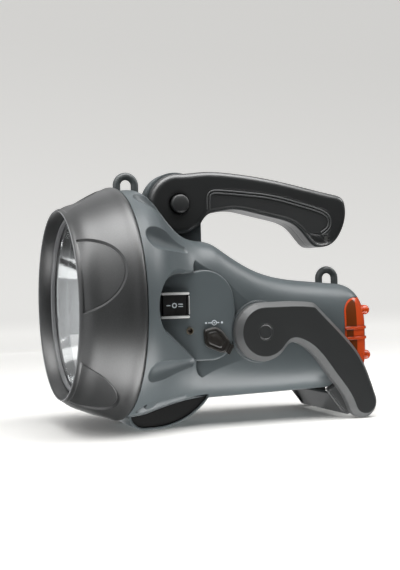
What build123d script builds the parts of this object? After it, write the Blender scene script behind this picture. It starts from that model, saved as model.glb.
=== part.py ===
"""Rechargeable hand spotlight: a round lamp head on a tapering housing, with a folding
carrying handle on top, a swing-down stand under the rear and an amber tail light.

Every piece is modelled in the beam frame and then moved into the part frame. Beam frame:
x = 0 at the seam between bezel and housing, +X towards the tail, the lamp shining along
-X; y = 0 on the joint plane of the two housing shells, with the switch side at -Y; z = 0
on the beam axis, +Z up. The part frame has its origin on the ground, under the middle.
All sizes are in millimetres.
"""

from build123d import *
from math import acos, cos, degrees, pi, radians, sin, sqrt
import os

# Overall sizes
overall_length = 325.0
axis_height = 122.5
bezel_depth = 58.0
bezel_radius = 115.0

# Clearances
shaft_clearance = 0.05
seat_clearance = 0.15
free_gap = 0.4
overrun = 4.0

# Housing envelope
seam_radius = 113.0
wall = 3.0
flare_length = 80.0
barrel_length = 155.0
tail_round = 26.0
neck_top = 61.5
neck_bottom = 98.0
neck_half_width = 54.0
tail_top = 15.0
tail_bottom = 94.0
tail_half_width = 48.5
tail_top_inset = 29.0
tail_bottom_inset = 22.0
tail_side_inset = 17.0
outline_points = 40

# Front collar that carries the bezel
collar_radius = 105.0
collar_wall = 4.0
collar_depth = 14.0
front_flange = 3.2

# Bezel
bezel_gap = 0.8
bezel_wall = 3.6
lens_recess = 13.0
lens_lip = 1.2
rim_inner_radius = 90.5
rim_round = 1.2
petal_count = 5
petal_length = 38.0
petal_half_width = 36.0
petal_depth = 1.5

# Optics
lens_radius = 88.0
lens_ring_width = 5.0
lens_ring_thickness = 2.4
lens_thickness = 3.2
gasket_thickness = 1.4
reflector_flange = 2.0
reflector_mouth = 82.0
reflector_focal = 27.0
reflector_wall = 1.6
reflector_neck = 10.0
neck_sleeve = 6.0
bulb_radius = 5.6
bulb_length = 36.0
bulb_flange_radius = 15.0
bulb_flange = 2.2
socket_radius = 11.0
socket_depth = 17.0
clip_radius = 18.0
clip_thickness = 1.2
clip_slot = 9.0

# Dimples round the shoulder
dimple_front = 14.5
dimple_width = 23.0
dimple_depth = 4.8
dimple_tip = 57.0
dimple_tip_width = 8.5
dimple_tip_depth = 1.6
search_steps = 40

# Flat flanks behind the shoulder
flank_half_width = 49.5
flank_front = 64.0
flank_top = 44.0
flank_bottom = 73.0
flank_round = 12.0

# Control panel
panel_plane = 54.0
panel_draft = 14.0
panel_front = 25.0
panel_rear = 106.5
panel_top = 31.0
panel_bottom = -56.5
panel_sink = 14.0
panel_edge = 1.5

# Power switch
switch_x = 43.2
switch_z = -2.2
switch_width = 31.5
switch_height = 25.5
switch_flange = 2.2
switch_side_rail = 2.6
switch_end_rail = 3.0
switch_body_depth = 20.0
switch_body_inset = 1.6
switch_corner = 1.5
switch_rail_inset = 0.6
switch_rail_height = 1.2
switch_rail_round = 0.5
rocker_dish = 1.4
rocker_proud = 1.4
rocker_depth = 5.0
rocker_skirt = 1.5
rocker_room = 5.5
rocker_end_gap = 1.15
rocker_pin_radius = 1.6
rocker_pin_reach = 0.9
terminal_width = 6.3
terminal_thickness = 0.8
terminal_length = 9.0
terminal_pitch = 7.6

# Indicator and charging socket
led_x = 59.2
led_z = -27.3
led_radius = 2.5
led_ring_radius = 3.6
led_ring_height = 0.9
led_ring_skirt = 0.5
jack_x = 85.8
jack_z = -38.1
jack_radius = 7.0
jack_pin_radius = 1.0
jack_lip = 1.0
jack_floor = 1.5
jack_pin_length = 6.0
cap_radius = 11.0
cap_height = 2.6
cap_plug_radius = 5.2
cap_plug_length = 3.0
cap_reach = 14.2
cap_tab_width = 10.0
cap_tab_height = 2.0
cap_turn = -31.0
cap_bead_radius = 1.1
cap_edge = 0.8
cap_dish = 0.7
cap_grip_width = 2.4
cap_root_length = 3.0

# Charging board
board_thickness = 1.6
board_length = 46.0
board_height = 36.0
board_shift = 3.0
board_plane = 40.0
board_post_radius = 3.0
board_chip = 7.0
board_chip_height = 2.5

# Handle hub, saddle and lug
hub_x = 63.5
hub_z = 98.0
hub_radius = 30.5
lug_radius = 32.5
lug_half_width = 8.0
lug_rear = 26.5
saddle_radius = 34.0
saddle_half_width = 21.5
cheek_gap = 0.4
shaft_radius = 12.0
shaft_bore = 7.4
shaft_reach = 13.0
shaft_web = 3.0

# Handle grip
grip_half_width = 19.5
grip_edge_round = 6.0
grip_reach = 188.0
pad_depth = 1.6
pad_sink = 0.4
pad_gap = 0.2
grip_screw_radius = 3.0
grip_screw_depth = 3.0

# Press button in the handle hub
button_radius = 9.2
button_recess_radius = 11.0
button_recess = 5.0
button_proud = 5.0
button_head = 4.9
button_stem_radius = 6.0
button_stem_reach = 4.0
button_edge = 1.4
spring_radius = 6.6
spring_wire = 1.3
spring_length = 12.0

# Strap loops
loop_rod = 7.5
loop_radius = 9.3
front_loop_x = 13.8
front_loop_z = 117.4
rear_loop_x = 235.2
rear_loop_z = 20.3
loop_root = 12.5
loop_base_width = 11.0
loop_base_thickness = 3.0

# Front foot
foot_half_width = 35.0
foot_rim = 2.4
foot_pocket = 6.0
foot_pad_thickness = 5.0
foot_front = 1.0
foot_rear = 84.0
foot_flat_start = 17.0
foot_flat_end = 27.0
foot_height = 13.0
heel_rise = 28.0
foot_depth = 1.5

# Stand
stand_x = 133.5
stand_z = -30.8
stand_hub_radius = 29.0
stand_seat_radius = 30.5
stand_inner = 52.5
stand_thickness = 14.0
stand_bevel = 5.0
stand_bevel_width = 7.0
stand_tip_x = 242.5
stand_tip_radius = 16.0
stand_bolt_radius = 5.0
stand_bolt_head_radius = 7.6
stand_bolt_head = 3.0
stand_bolt_reach = 14.0
stand_counterbore = 6.0
stand_cap_radius = 8.1
stand_cap_height = 1.8
bar_thickness = 4.0

# Tail light
tail_window_front = 230.0
tail_window_top = 0.0
tail_window_bottom = -74.0
tail_window_round = 15.0
tail_lens_wall = 2.6
tail_bar_radius = 5.0
tail_bar_half_length = 33.0
tail_bar_inset = 13.5
tail_rib_height = 1.0
tail_rib_width = 2.6
tail_board_x = 235.0
tail_board_margin = 6.0
tail_led_radius = 2.5
tail_led_length = 6.0
tail_led_rows = 2
tail_led_columns = 4

# Battery and its cross ribs
battery_length = 90.0
battery_width = 70.0
battery_height = 90.0
battery_front = 108.0
battery_bottom = -85.0
battery_edge = 2.0
battery_tab_length = 8.0
battery_tab_width = 6.3
battery_tab_thickness = 0.8
battery_tab_spread = 21.0
rib_thickness = 3.0
rib_inset = 13.0
foam_thickness = 4.0

# Shell screws, driven from the far side
screw_boss_radius = 5.6
screw_well_radius = 3.9
screw_head_radius = 3.5
screw_head_height = 2.4
screw_shank_radius = 1.6
screw_grip = 8.0
screw_depth = 10.0
screw_margin = 15.0

# Flare from the seam to the neck: share of flare length, then what is left there of the
# widening at the side, at the top and at the bottom, and the squareness of the section
flare_shares = (
    (0.0, 1.0, 1.0, 1.0, 2.0),
    (0.12, 0.94, 0.993, 0.98, 2.0),
    (0.28, 0.79, 0.955, 0.86, 2.02),
    (0.4, 0.62, 0.8, 0.68, 2.1),
    (0.52, 0.43, 0.56, 0.5, 2.25),
    (0.64, 0.27, 0.33, 0.34, 2.45),
    (0.76, 0.14, 0.15, 0.2, 2.7),
    (0.88, 0.05, 0.045, 0.08, 3.0),
    (1.0, 0.0, 0.0, 0.0, 3.2),
)

# Barrel from the neck to the tail: share of barrel length, what is left of the neck's
# extra width and extra height, and the squareness of the section
barrel_shares = (
    (0.08, 0.72, 0.96, 3.25),
    (0.17, 0.47, 0.78, 3.35),
    (0.27, 0.30, 0.56, 3.45),
    (0.38, 0.19, 0.36, 3.5),
    (0.5, 0.12, 0.215, 3.6),
    (0.62, 0.08, 0.13, 3.6),
    (0.74, 0.052, 0.08, 3.6),
    (0.85, 0.03, 0.045, 3.6),
    (0.93, 0.014, 0.02, 3.6),
    (1.0, 0.0, 0.0, 3.6),
)
tail_shares = (0.32, 0.58, 0.78, 0.91, 0.98, 1.0)

# Control panel outline, in shares of its length and height from its front lower corner
panel_shares = {
    "nose_low": (0.07, 0.40),
    "nose": (0.0, 0.62),
    "nose_high": (0.14, 0.90),
    "brow": (0.22, 0.955),
    "roof_front": (0.34, 0.965),
    "roof_rear": (0.58, 1.0),
    "crown": (0.88, 0.90),
    "back_high": (0.99, 0.68),
    "back": (1.0, 0.44),
    "back_low": (0.955, 0.18),
    "heel": (0.86, 0.05),
    "sole_rear": (0.68, 0.0),
    "sole_front": (0.50, 0.0),
}

# Shell screws: shares of the housing's length, one screw high and one low at each
screw_shares = (0.077, 0.387, 0.812)

# Bezel outline: share of bezel depth, share of bezel radius
bezel_outline_shares = (
    (0.03, 0.992),
    (0.10, 1.0),
    (0.22, 0.978),
    (0.39, 0.951),
    (0.65, 0.899),
    (0.83, 0.860),
    (0.95, 0.817),
)

# Handle outline: shares of the grip's reach, along and up from the hub
grip_shares = (
    (0.140, 0.174),
    (0.314, 0.1686),
    (0.60, 0.127),
    (0.922, 0.0585),
    (0.982, 0.035),
    (1.0, -0.015),
    (0.994, -0.09),
    (0.962, -0.164),
    (0.912, -0.218),
    (0.847, -0.2367),
    (0.803, -0.231),
    (0.772, -0.205),
    (0.690, -0.118),
    (0.56, -0.073),
    (0.43, -0.044),
    (0.308, -0.028),
    (0.210, -0.043),
)
grip_screw_share = (0.867, -0.189)

# Hollow for the grip pad, in the same shares
pad_shares = {
    "front_low": (0.157, -0.085),
    "front": (0.160, 0.048),
    "brow": (0.175, 0.068),
    "top": (0.2154, 0.0755),
    "mid_top": (0.54, 0.0495),
    "rear": (0.8324, -0.025),
    "round": (0.9005, -0.0957),
    "low": (0.8378, -0.170),
}

# Stand arm outline: shares of the arm's reach from hub to tip, along and across it
stand_shares = {
    "crest": (0.199, 0.3935),
    "bend": (0.2319, 0.406),
    "shoulder": (0.2697, 0.403),
    "back": (0.647, 0.330),
    "shin": (0.6517, 0.0195),
    "knee": (0.30, 0.085),
    "notch": (0.235, 0.055),
}
bar_low_share = (0.973, -0.128)
bar_high_share = (0.802, -0.055)

# Dimples of one side: degrees up from the side, round the beam, in front and at the tip
dimple_angles = ((-64.0, -66.5), (-33.5, -42.0), (0.0, 0.0), (33.0, 44.0), (65.0, 64.0))

# Other shares and angles
tail_rib_shares = (0.426, 0.568)
lug_web_share = 0.55
cap_dish_share = 0.72
bar_round_share = 0.3
bowl_shares = (0.0, 0.12, 0.26, 0.42, 0.6, 0.8, 1.0)
hub_web_angle = -35.0
stand_notch_angle = -45.3
stand_tip_angle = 18.0

seam_x = bezel_depth - overall_length / 2
housing_end = flare_length + barrel_length + tail_round
to_part_frame = Pos(seam_x, 0, axis_height)


def write(name, shape):
    """Move a piece into the part frame and save it under its node name."""
    solids = (to_part_frame * shape).solids()
    whole = solids[0] if len(solids) == 1 else Compound(children=list(solids))
    whole.label = name
    export_step(whole, f"parts/{name}.step")


def block(x_span, y_span, z_span):
    """A box between two places along each axis."""
    low = Vector(x_span[0], y_span[0], z_span[0])
    size = Vector(x_span[1], y_span[1], z_span[1]) - low
    return Pos(low) * Box(size.X, size.Y, size.Z, align=(Align.MIN, Align.MIN, Align.MIN))


def rod_y(x, z, radius, y_start, y_end):
    """A round bar along Y."""
    low, high = min(y_start, y_end), max(y_start, y_end)
    bar = Cylinder(radius, high - low, align=(Align.CENTER, Align.CENTER, Align.MIN))
    return Pos(x, high, z) * Rot(90, 0, 0) * bar


def rod_x(y, z, radius, x_start, x_end):
    """A round bar along X."""
    bar = Cylinder(radius, x_end - x_start, align=(Align.CENTER, Align.CENTER, Align.MIN))
    return Pos(x_start, y, z) * Rot(0, 90, 0) * bar


def side_plate(outline, y_start, y_end):
    """Push an outline, drawn in x and z, from one y to another."""
    face = make_face(outline)
    plane = Plane(origin=(0, y_start, 0), x_dir=(1, 0, 0), z_dir=(0, -1, 0))
    return extrude(plane * face, amount=y_start - y_end)


def turned(profile):
    """Revolve a profile, drawn in x and radius, about the beam axis."""
    return revolve(make_face(profile), Axis.X)


def loop_of(*curves):
    """Join curves drawn end to end into one closed outline."""
    return Curve() + list(curves)


def stations(inset):
    """Stations of the envelope, drawn in by an inset on every side."""
    rows = []
    for along, side, top, bottom, power in flare_shares:
        rows.append(
            (
                along * flare_length,
                neck_top + (seam_radius - neck_top) * top,
                neck_bottom + (seam_radius - neck_bottom) * bottom,
                neck_half_width + (seam_radius - neck_half_width) * side,
                power,
            )
        )
    for along, side, top, power in barrel_shares:
        rows.append(
            (
                flare_length + along * barrel_length,
                tail_top + (neck_top - tail_top) * top,
                neck_bottom + (tail_bottom - neck_bottom) * along,
                tail_half_width + (neck_half_width - tail_half_width) * side,
                power,
            )
        )
    end_power = barrel_shares[-1][-1]
    for share in tail_shares:
        drawn_in = 1 - sqrt(1 - share * share)
        rows.append(
            (
                flare_length + barrel_length + (tail_round - inset) * share,
                tail_top - tail_top_inset * drawn_in,
                tail_bottom - tail_bottom_inset * drawn_in,
                tail_half_width - tail_side_inset * drawn_in,
                end_power,
            )
        )
    return [
        (x, top - inset, bottom - inset, half_width - inset, power)
        for x, top, bottom, half_width, power in rows
    ]


def station_wire(x, top, bottom, half_width, power):
    """A smooth closed section: a circle at power 2, squarer as the power rises."""
    middle = (top - bottom) / 2
    half_height = (top + bottom) / 2
    points = []
    for index in range(outline_points):
        angle = 2 * pi * index / outline_points
        reach = (abs(cos(angle)) / half_width) ** power + (abs(sin(angle)) / half_height) ** power
        radius = reach ** (-1 / power)
        points.append(Vector(x, radius * cos(angle), middle + radius * sin(angle)))
    parameters = [index / outline_points for index in range(outline_points + 1)]
    return Wire([Edge.make_spline(points, periodic=True, parameters=parameters)])


def envelope(inset=0.0):
    """The housing's outer form, or the same form drawn in by a wall."""
    return Part() + Solid.make_loft([station_wire(*row) for row in stations(inset)])


def station_at(x):
    """Top, bottom, half width and squareness of the housing at a place along it."""
    rows = stations(0.0)
    for before, after in zip(rows, rows[1:]):
        if before[0] <= x <= after[0]:
            share = (x - before[0]) / (after[0] - before[0])
            return [low + (high - low) * share for low, high in zip(before, after)][1:]
    return rows[-1][1:]


def screw_places():
    """Where the shell screws stand, in x and z, a margin inside the top and bottom."""
    places = []
    for share in screw_shares:
        x = share * housing_end
        top, bottom, _, _ = station_at(x)
        places.append((x, top - screw_margin))
        places.append((x, -bottom + screw_margin))
    return places


def skin_point(x, angle):
    """The place on the housing's skin at a distance along it and degrees round the beam."""
    top, bottom, half_width, power = station_at(x)
    middle, half_height = (top - bottom) / 2, (top + bottom) / 2
    outward = Vector(0, cos(radians(angle)), sin(radians(angle)))
    near, far = 0.0, seam_radius + overrun
    for _ in range(search_steps):
        reach = (near + far) / 2
        across, up = reach * outward.Y, reach * outward.Z - middle
        if (abs(across) / half_width) ** power + (abs(up) / half_height) ** power < 1:
            near = reach
        else:
            far = reach
    return Vector(x, 0, 0) + outward * near


def scoop_radius(width, depth):
    """Radius of a round cut that is this wide at the skin and this deep."""
    return (width**2 / 4 + depth**2) / (2 * depth)


def teardrop(front_radius, tip_radius, length):
    """A solid drop along X: a large ball and a small one in one smooth skin."""
    lean = (front_radius - tip_radius) / length
    rise = sqrt(1 - lean**2)
    touch = degrees(acos(lean))
    front_arc = CenterArc((0, 0), front_radius, touch, 180 - touch)
    tip_arc = CenterArc((length, 0), tip_radius, 0, touch)
    flank = Line((length + tip_radius * lean, tip_radius * rise), (front_radius * lean, front_radius * rise))
    return turned(loop_of(tip_arc, flank, front_arc, Line((-front_radius, 0), (length + tip_radius, 0))))


def dimple_cutter(front_angle, tip_angle, skin=0.0):
    """A teardrop scoop in the shoulder: round in front, drawn in to a blunt tip behind."""
    front, tip = skin_point(dimple_front, front_angle), skin_point(dimple_tip, tip_angle)
    turn = radians((front_angle + tip_angle) / 2)
    along = (tip - front).normalized()
    outward = Vector(0, cos(turn), sin(turn))
    outward = (outward - along * outward.dot(along)).normalized()
    front_radius = scoop_radius(dimple_width, dimple_depth)
    tip_radius = scoop_radius(dimple_tip_width, dimple_tip_depth)
    start = front + outward * (front_radius - dimple_depth)
    end = tip + outward * (tip_radius - dimple_tip_depth)
    place = Plane(origin=start, x_dir=end - start, z_dir=(end - start).cross(outward))
    return place * teardrop(front_radius + skin, tip_radius + skin, (end - start).length)


def dimples(skin=0.0):
    """All the scoops: alike on both sides, but the panel takes the place of the middle one."""
    far = [dimple_cutter(front, tip, skin) for front, tip in dimple_angles]
    near = [dimple_cutter(180 - front, 180 - tip, skin) for front, tip in dimple_angles if front]
    return far + near


def panel_outline(grow=0.0):
    """The control panel's edge: a rounded nose in front and a squarer rear end."""
    front, rear = panel_front - grow, panel_rear + grow
    top, bottom = panel_top + grow, panel_bottom - grow
    length, height = rear - front, top - bottom

    at = {name: (front + length * along, bottom + height * up) for name, (along, up) in panel_shares.items()}
    return loop_of(
        ThreePointArc(at["nose_low"], at["nose"], at["nose_high"]),
        ThreePointArc(at["nose_high"], at["brow"], at["roof_front"]),
        Line(at["roof_front"], at["roof_rear"]),
        ThreePointArc(at["roof_rear"], at["crown"], at["back_high"]),
        ThreePointArc(at["back_high"], at["back"], at["back_low"]),
        ThreePointArc(at["back_low"], at["heel"], at["sole_rear"]),
        Line(at["sole_rear"], at["sole_front"]),
        Line(at["sole_front"], at["nose_low"]),
    )


def panel_plate():
    """The panel's flat plate, rounded over where it stands clear of the flank."""
    plate = side_plate(panel_outline(), -panel_plane, -panel_plane + panel_sink)
    face = plate.faces().sort_by(Axis.Y)[0]
    free_edges = [edge for edge in face.edges() if edge.center().X > flank_front]
    return fillet(free_edges, panel_edge)


def panel_recess(floor, grow=0.0):
    """Space in front of the panel, opening outwards with a moulding draft."""
    face = make_face(panel_outline(grow))
    plane = Plane(origin=(0, -floor, 0), x_dir=(1, 0, 0), z_dir=(0, -1, 0))
    return extrude(plane * face, amount=seam_radius - floor + overrun, taper=-panel_draft)


def flank_cutter(side, skin=0.0):
    """The flat on one flank, behind the shoulder."""
    outline = RectangleRounded(
        housing_end - flank_front + overrun + skin,
        flank_top + flank_bottom + 2 * skin,
        flank_round + skin,
    )
    middle_x = (flank_front - skin + housing_end + overrun) / 2
    middle_z = (flank_top - flank_bottom) / 2
    plane = Plane(
        origin=(middle_x, side * (flank_half_width - skin), middle_z),
        x_dir=(1, 0, 0),
        z_dir=(0, side, 0),
    )
    return extrude(plane * outline, amount=seam_radius)


def foot_outline(inset=0.0):
    """Side view of the front foot: a nose, a short flat to rest on, and a long rising heel."""
    low = -axis_height + inset
    front = foot_front + inset
    rear = foot_rear - inset
    nose_top = (front, low + foot_height)
    heel_top = (rear, low + heel_rise - inset)
    roof = low + heel_rise + foot_depth
    flat = Line((foot_flat_start, low), (foot_flat_end, low))
    heel = TangentArc((foot_flat_end, low), heel_top, tangent=(1, 0))
    over = Polyline(heel_top, (rear, roof), (front, roof), nose_top)
    nose = TangentArc((foot_flat_start, low), nose_top, tangent=(-1, 0))
    return loop_of(flat, heel, over, nose)


def tail_window(shrink=0.0):
    """The block of space that the tail light fills, seen from the side."""
    front = tail_window_front + shrink
    top = tail_window_top - shrink
    bottom = tail_window_bottom + shrink
    rear = housing_end + tail_bar_radius + overrun
    corner = tail_window_round - shrink
    centre_top = (front + corner, top - corner)
    centre_bottom = (front + corner, bottom + corner)
    outline = loop_of(
        Line((front, bottom + corner), (front, top - corner)),
        CenterArc(centre_top, corner, 90, 90),
        Line((front + corner, top), (rear, top)),
        Line((rear, top), (rear, bottom)),
        Line((rear, bottom), (front + corner, bottom)),
        CenterArc(centre_bottom, corner, 180, 90),
    )
    return side_plate(outline, seam_radius, -seam_radius)


def saddle_pocket(skin=0.0):
    """Round pocket that the handle's hub turns in."""
    half = saddle_half_width + skin
    return rod_y(hub_x, hub_z, saddle_radius + skin, -half, half)


def loop_body(x, z, grow=0.0):
    """A strap loop: half a ring on two legs, with a base under the housing's skin."""
    radius = loop_rod / 2 + grow
    ring = Pos(x, 0, z) * Rot(90, 0, 0) * Torus(loop_radius, radius)
    ring = ring & block((x - loop_rod * 2, x + loop_rod * 2), (-loop_rod, loop_rod), (z, z + loop_rod * 2))
    leg = Cylinder(radius, loop_root, align=(Align.CENTER, Align.CENTER, Align.MAX))
    base = block(
        (x - loop_radius - radius, x + loop_radius + radius),
        (-loop_base_width / 2 - grow, loop_base_width / 2 + grow),
        (z - loop_root - loop_base_thickness - grow, z - loop_root + grow),
    )
    return ring + Pos(x - loop_radius, 0, z) * leg + Pos(x + loop_radius, 0, z) * leg + base


def housing():
    """Both shells as one body, before it is parted at the joint plane."""
    outer = envelope()
    for cutter in dimples():
        outer -= cutter
    for side in (-1, 1):
        outer -= flank_cutter(side)
    outer -= panel_recess(panel_plane)
    outer += panel_plate()
    for side in (-1, 1):
        seat_y = side * (stand_inner - free_gap)
        outer -= rod_y(stand_x, stand_z, stand_seat_radius + free_gap, seat_y, side * seam_radius)
        outer += rod_y(stand_x, stand_z, stand_seat_radius, side * panel_sink, seat_y)
    outer += side_plate(foot_outline(), foot_half_width, -foot_half_width)
    outer -= saddle_pocket()
    lug = lug_body()
    outer += lug

    everything = (-seam_radius, seam_radius)
    cavity = envelope(wall) & block((front_flange, housing_end), everything, everything)
    for cutter in dimples(wall):
        cavity -= cutter
    for side in (-1, 1):
        cavity -= flank_cutter(side, wall)
    cavity -= panel_recess(panel_plane - wall, wall)
    cavity -= saddle_pocket(wall)
    cavity -= lug
    body = outer - cavity

    collar = rod_x(0, 0, collar_radius, -collar_depth, front_flange) - rod_x(
        0, 0, collar_radius - collar_wall, -collar_depth, front_flange
    )
    body -= rod_x(0, 0, collar_radius - collar_wall, -overrun, front_flange)
    body += collar
    for piece in inner_walls():
        body += piece
    body -= tail_window()
    for post in tail_posts():
        body += post
    for cutter in housing_holes():
        body -= cutter
    return body


def lug_body():
    """The housing's ear inside the handle's fork, with the web that carries it."""
    lug = rod_y(hub_x, hub_z, lug_radius, -lug_half_width, lug_half_width)
    web = block(
        (hub_x - lug_radius, hub_x + lug_rear),
        (-lug_half_width, lug_half_width),
        (neck_top - lug_radius, hub_z - lug_radius * lug_web_share),
    )
    return lug + web


def battery_space():
    """The battery with its clearance, and the foam on its lid."""
    gap = seat_clearance
    return block(
        (battery_front - gap, battery_front + battery_length + gap),
        (-battery_width / 2 - gap, battery_width / 2 + gap),
        (battery_bottom - gap, battery_bottom + battery_height + foam_thickness),
    )


def rib_places():
    """Where the two cross ribs begin that hold the battery."""
    return (battery_front + rib_inset, battery_front + battery_length - rib_inset - rib_thickness)


def inner_walls():
    """Ribs, bulkhead, bosses and posts inside the housing."""
    everything = (-seam_radius, seam_radius)
    lining = envelope(wall / 2)
    space = battery_space()
    walls = [(block((x, x + rib_thickness), everything, everything) & lining) - space for x in rib_places()]
    walls.append((tail_window(-wall) - tail_window()) & lining)
    for x, z in screw_places():
        walls.append(rod_y(x, z, screw_boss_radius, -seam_radius, seam_radius) & lining)
    for side in (-1, 1):
        inner_end = side * (battery_width / 2 + free_gap)
        walls.append(rod_y(stand_x, stand_z, stand_bolt_radius + wall, inner_end, side * flank_half_width))
    for x, z in board_post_places():
        walls.append(rod_y(x, z, board_post_radius, -panel_plane + wall / 2, -board_front()))
    return walls


def housing_holes():
    """Everything that is bored or cut through the finished walls."""
    hole_x, hole_z = switch_width / 2 - switch_body_inset, switch_height / 2 - switch_body_inset
    cuts = [
        rod_y(hub_x, hub_z, shaft_radius, -seam_radius, seam_radius),
        block(
            (switch_x - hole_x, switch_x + hole_x),
            (-panel_plane - overrun, -board_plane),
            (switch_z - hole_z, switch_z + hole_z),
        ),
        rod_y(led_x, led_z, led_radius + led_ring_skirt, -panel_plane - overrun, -board_front()),
        rod_y(jack_x, jack_z, jack_radius, -panel_plane - overrun, -board_front()),
        cap_root(-seat_clearance),
    ]
    for side in (-1, 1):
        bolt_end = side * (stand_inner - stand_bolt_reach)
        cuts.append(rod_y(stand_x, stand_z, stand_bolt_radius, bolt_end, side * seam_radius))
        pocket_floor = side * (foot_half_width - foot_pocket)
        spans = sorted((pocket_floor, side * (foot_half_width + overrun)), reverse=True)
        pocket = side_plate(foot_outline(foot_rim), *spans)
        cuts.append(pocket - envelope(-foot_rim / 2))
    for x, z in screw_places():
        cuts.append(rod_y(x, z, screw_well_radius, screw_grip, seam_radius))
        cuts.append(rod_y(x, z, screw_shank_radius, -screw_depth, screw_grip))
    cuts.append(loop_body(front_loop_x, front_loop_z, seat_clearance))
    cuts.append(loop_body(rear_loop_x, rear_loop_z, seat_clearance))
    return cuts


def half_of(body, side):
    """One side of a body that is parted at the joint plane."""
    reach = overall_length
    return body & block((-reach, reach), (0, reach) if side > 0 else (-reach, 0), (-reach, reach))


def bezel_ring():
    """The lamp head's front ring, with its hollowed petals."""
    outline = [(-bezel_depth * along, bezel_radius * out) for along, out in bezel_outline_shares]
    start = (-bezel_gap, seam_radius)
    skin = Spline(start, *outline)
    lip_end = (-bezel_depth + rim_round, rim_inner_radius)
    lip = ThreePointArc(outline[-1], (-bezel_depth, (outline[-1][1] + rim_inner_radius) / 2), lip_end)
    seat_front = -bezel_depth + lens_recess
    seat_back = seat_front + stack_depth()
    bore = collar_radius + seat_clearance
    inside = Polyline(
        lip_end,
        (seat_front - lens_lip, lens_radius - lens_lip),
        (seat_front, lens_radius - lens_lip),
        (seat_front, lens_radius),
        (seat_back, lens_radius),
        (seat_back + bezel_wall, lens_radius + lens_recess),
        (-collar_depth - bezel_gap, bore),
        (-bezel_gap, bore),
        start,
    )
    ring = turned(loop_of(skin, lip, inside))
    band = turned(
        loop_of(
            skin,
            Polyline(
                outline[-1],
                (outline[-1][0], outline[-1][1] - petal_depth),
                (outline[-2][0], outline[-2][1] - petal_depth),
                (outline[-3][0], outline[-3][1] - petal_depth),
                (outline[-4][0], outline[-4][1] - petal_depth),
                (outline[-5][0], outline[-5][1] - petal_depth),
                start,
            ),
        )
    )
    for step in range(petal_count):
        petal = Plane(origin=(-bezel_depth, 0, 0), x_dir=(1, 0, 0), z_dir=(0, 0, 1)) * make_face(
            Ellipse(petal_length, petal_half_width).edges()
        )
        column = extrude(petal, amount=bezel_radius + overrun)
        ring -= Rot(step * 360 / petal_count, 0, 0) * (column & band)
    return ring


def stack_depth():
    """How deep the ring, lens, gasket and reflector flange sit in the bezel."""
    return lens_ring_thickness + lens_thickness + gasket_thickness + reflector_flange


def disc_x(outer, inner, x_start, thickness):
    """A flat ring, or a disc when the inner radius is zero, square to the beam."""
    disc = rod_x(0, 0, outer, x_start, x_start + thickness)
    if inner > 0:
        disc -= rod_x(0, 0, inner, x_start - overrun, x_start + thickness + overrun)
    return disc


def reflector():
    """A parabolic mirror bowl with a front flange and a rear neck for the bulb."""
    flange_x = -bezel_depth + lens_recess + stack_depth() - reflector_flange
    vertex = flange_x + reflector_flange / 2 + reflector_mouth**2 / (4 * reflector_focal)
    radii = [reflector_mouth - (reflector_mouth - reflector_neck) * share for share in bowl_shares]
    inner = [(vertex - radius**2 / (4 * reflector_focal), radius) for radius in radii]
    outer = [(x + reflector_wall, radius + reflector_wall) for x, radius in inner]
    neck_x = inner[-1][0] + neck_sleeve
    bowl = turned(
        loop_of(
            Spline(*inner),
            Polyline(inner[-1], (neck_x, reflector_neck), (neck_x, outer[-1][1]), outer[-1]),
            Spline(*reversed(outer)),
            Line(outer[0], inner[0]),
        )
    )
    return bowl + disc_x(lens_radius - seat_clearance, reflector_mouth, flange_x, reflector_flange)


def neck_end():
    """Rear end of the reflector's neck, where the bulb's flange sits."""
    flange_x = -bezel_depth + lens_recess + stack_depth() - reflector_flange
    vertex = flange_x + reflector_flange / 2 + reflector_mouth**2 / (4 * reflector_focal)
    return vertex - reflector_neck**2 / (4 * reflector_focal) + neck_sleeve


def halogen_bulb():
    """A quartz capsule with a rounded nose."""
    rear = neck_end()
    shoulder = rear - bulb_length + bulb_radius
    profile = loop_of(
        Line((rear, 0), (rear, bulb_radius)),
        Line((rear, bulb_radius), (shoulder, bulb_radius)),
        CenterArc((shoulder, 0), bulb_radius, 90, 90),
        Line((shoulder - bulb_radius, 0), (rear, 0)),
    )
    return turned(profile)


def bulb_base():
    """The bulb's metal flange and its socket."""
    return disc_x(bulb_flange_radius, 0, neck_end(), bulb_flange) + disc_x(
        socket_radius, 0, neck_end() + bulb_flange, socket_depth
    )


def bulb_clip():
    """The flat spring clip that holds the flange down."""
    start = neck_end() + bulb_flange
    clip = disc_x(clip_radius, socket_radius + seat_clearance, start, clip_thickness)
    half = clip_slot / 2
    for side in (-1, 1):
        slot_start = socket_radius + clip_thickness + seat_clearance
        span = sorted((side * slot_start, side * (clip_radius + overrun)))
        clip -= block((start - overrun, start + overrun), span, (-half, half))
    return clip


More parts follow.
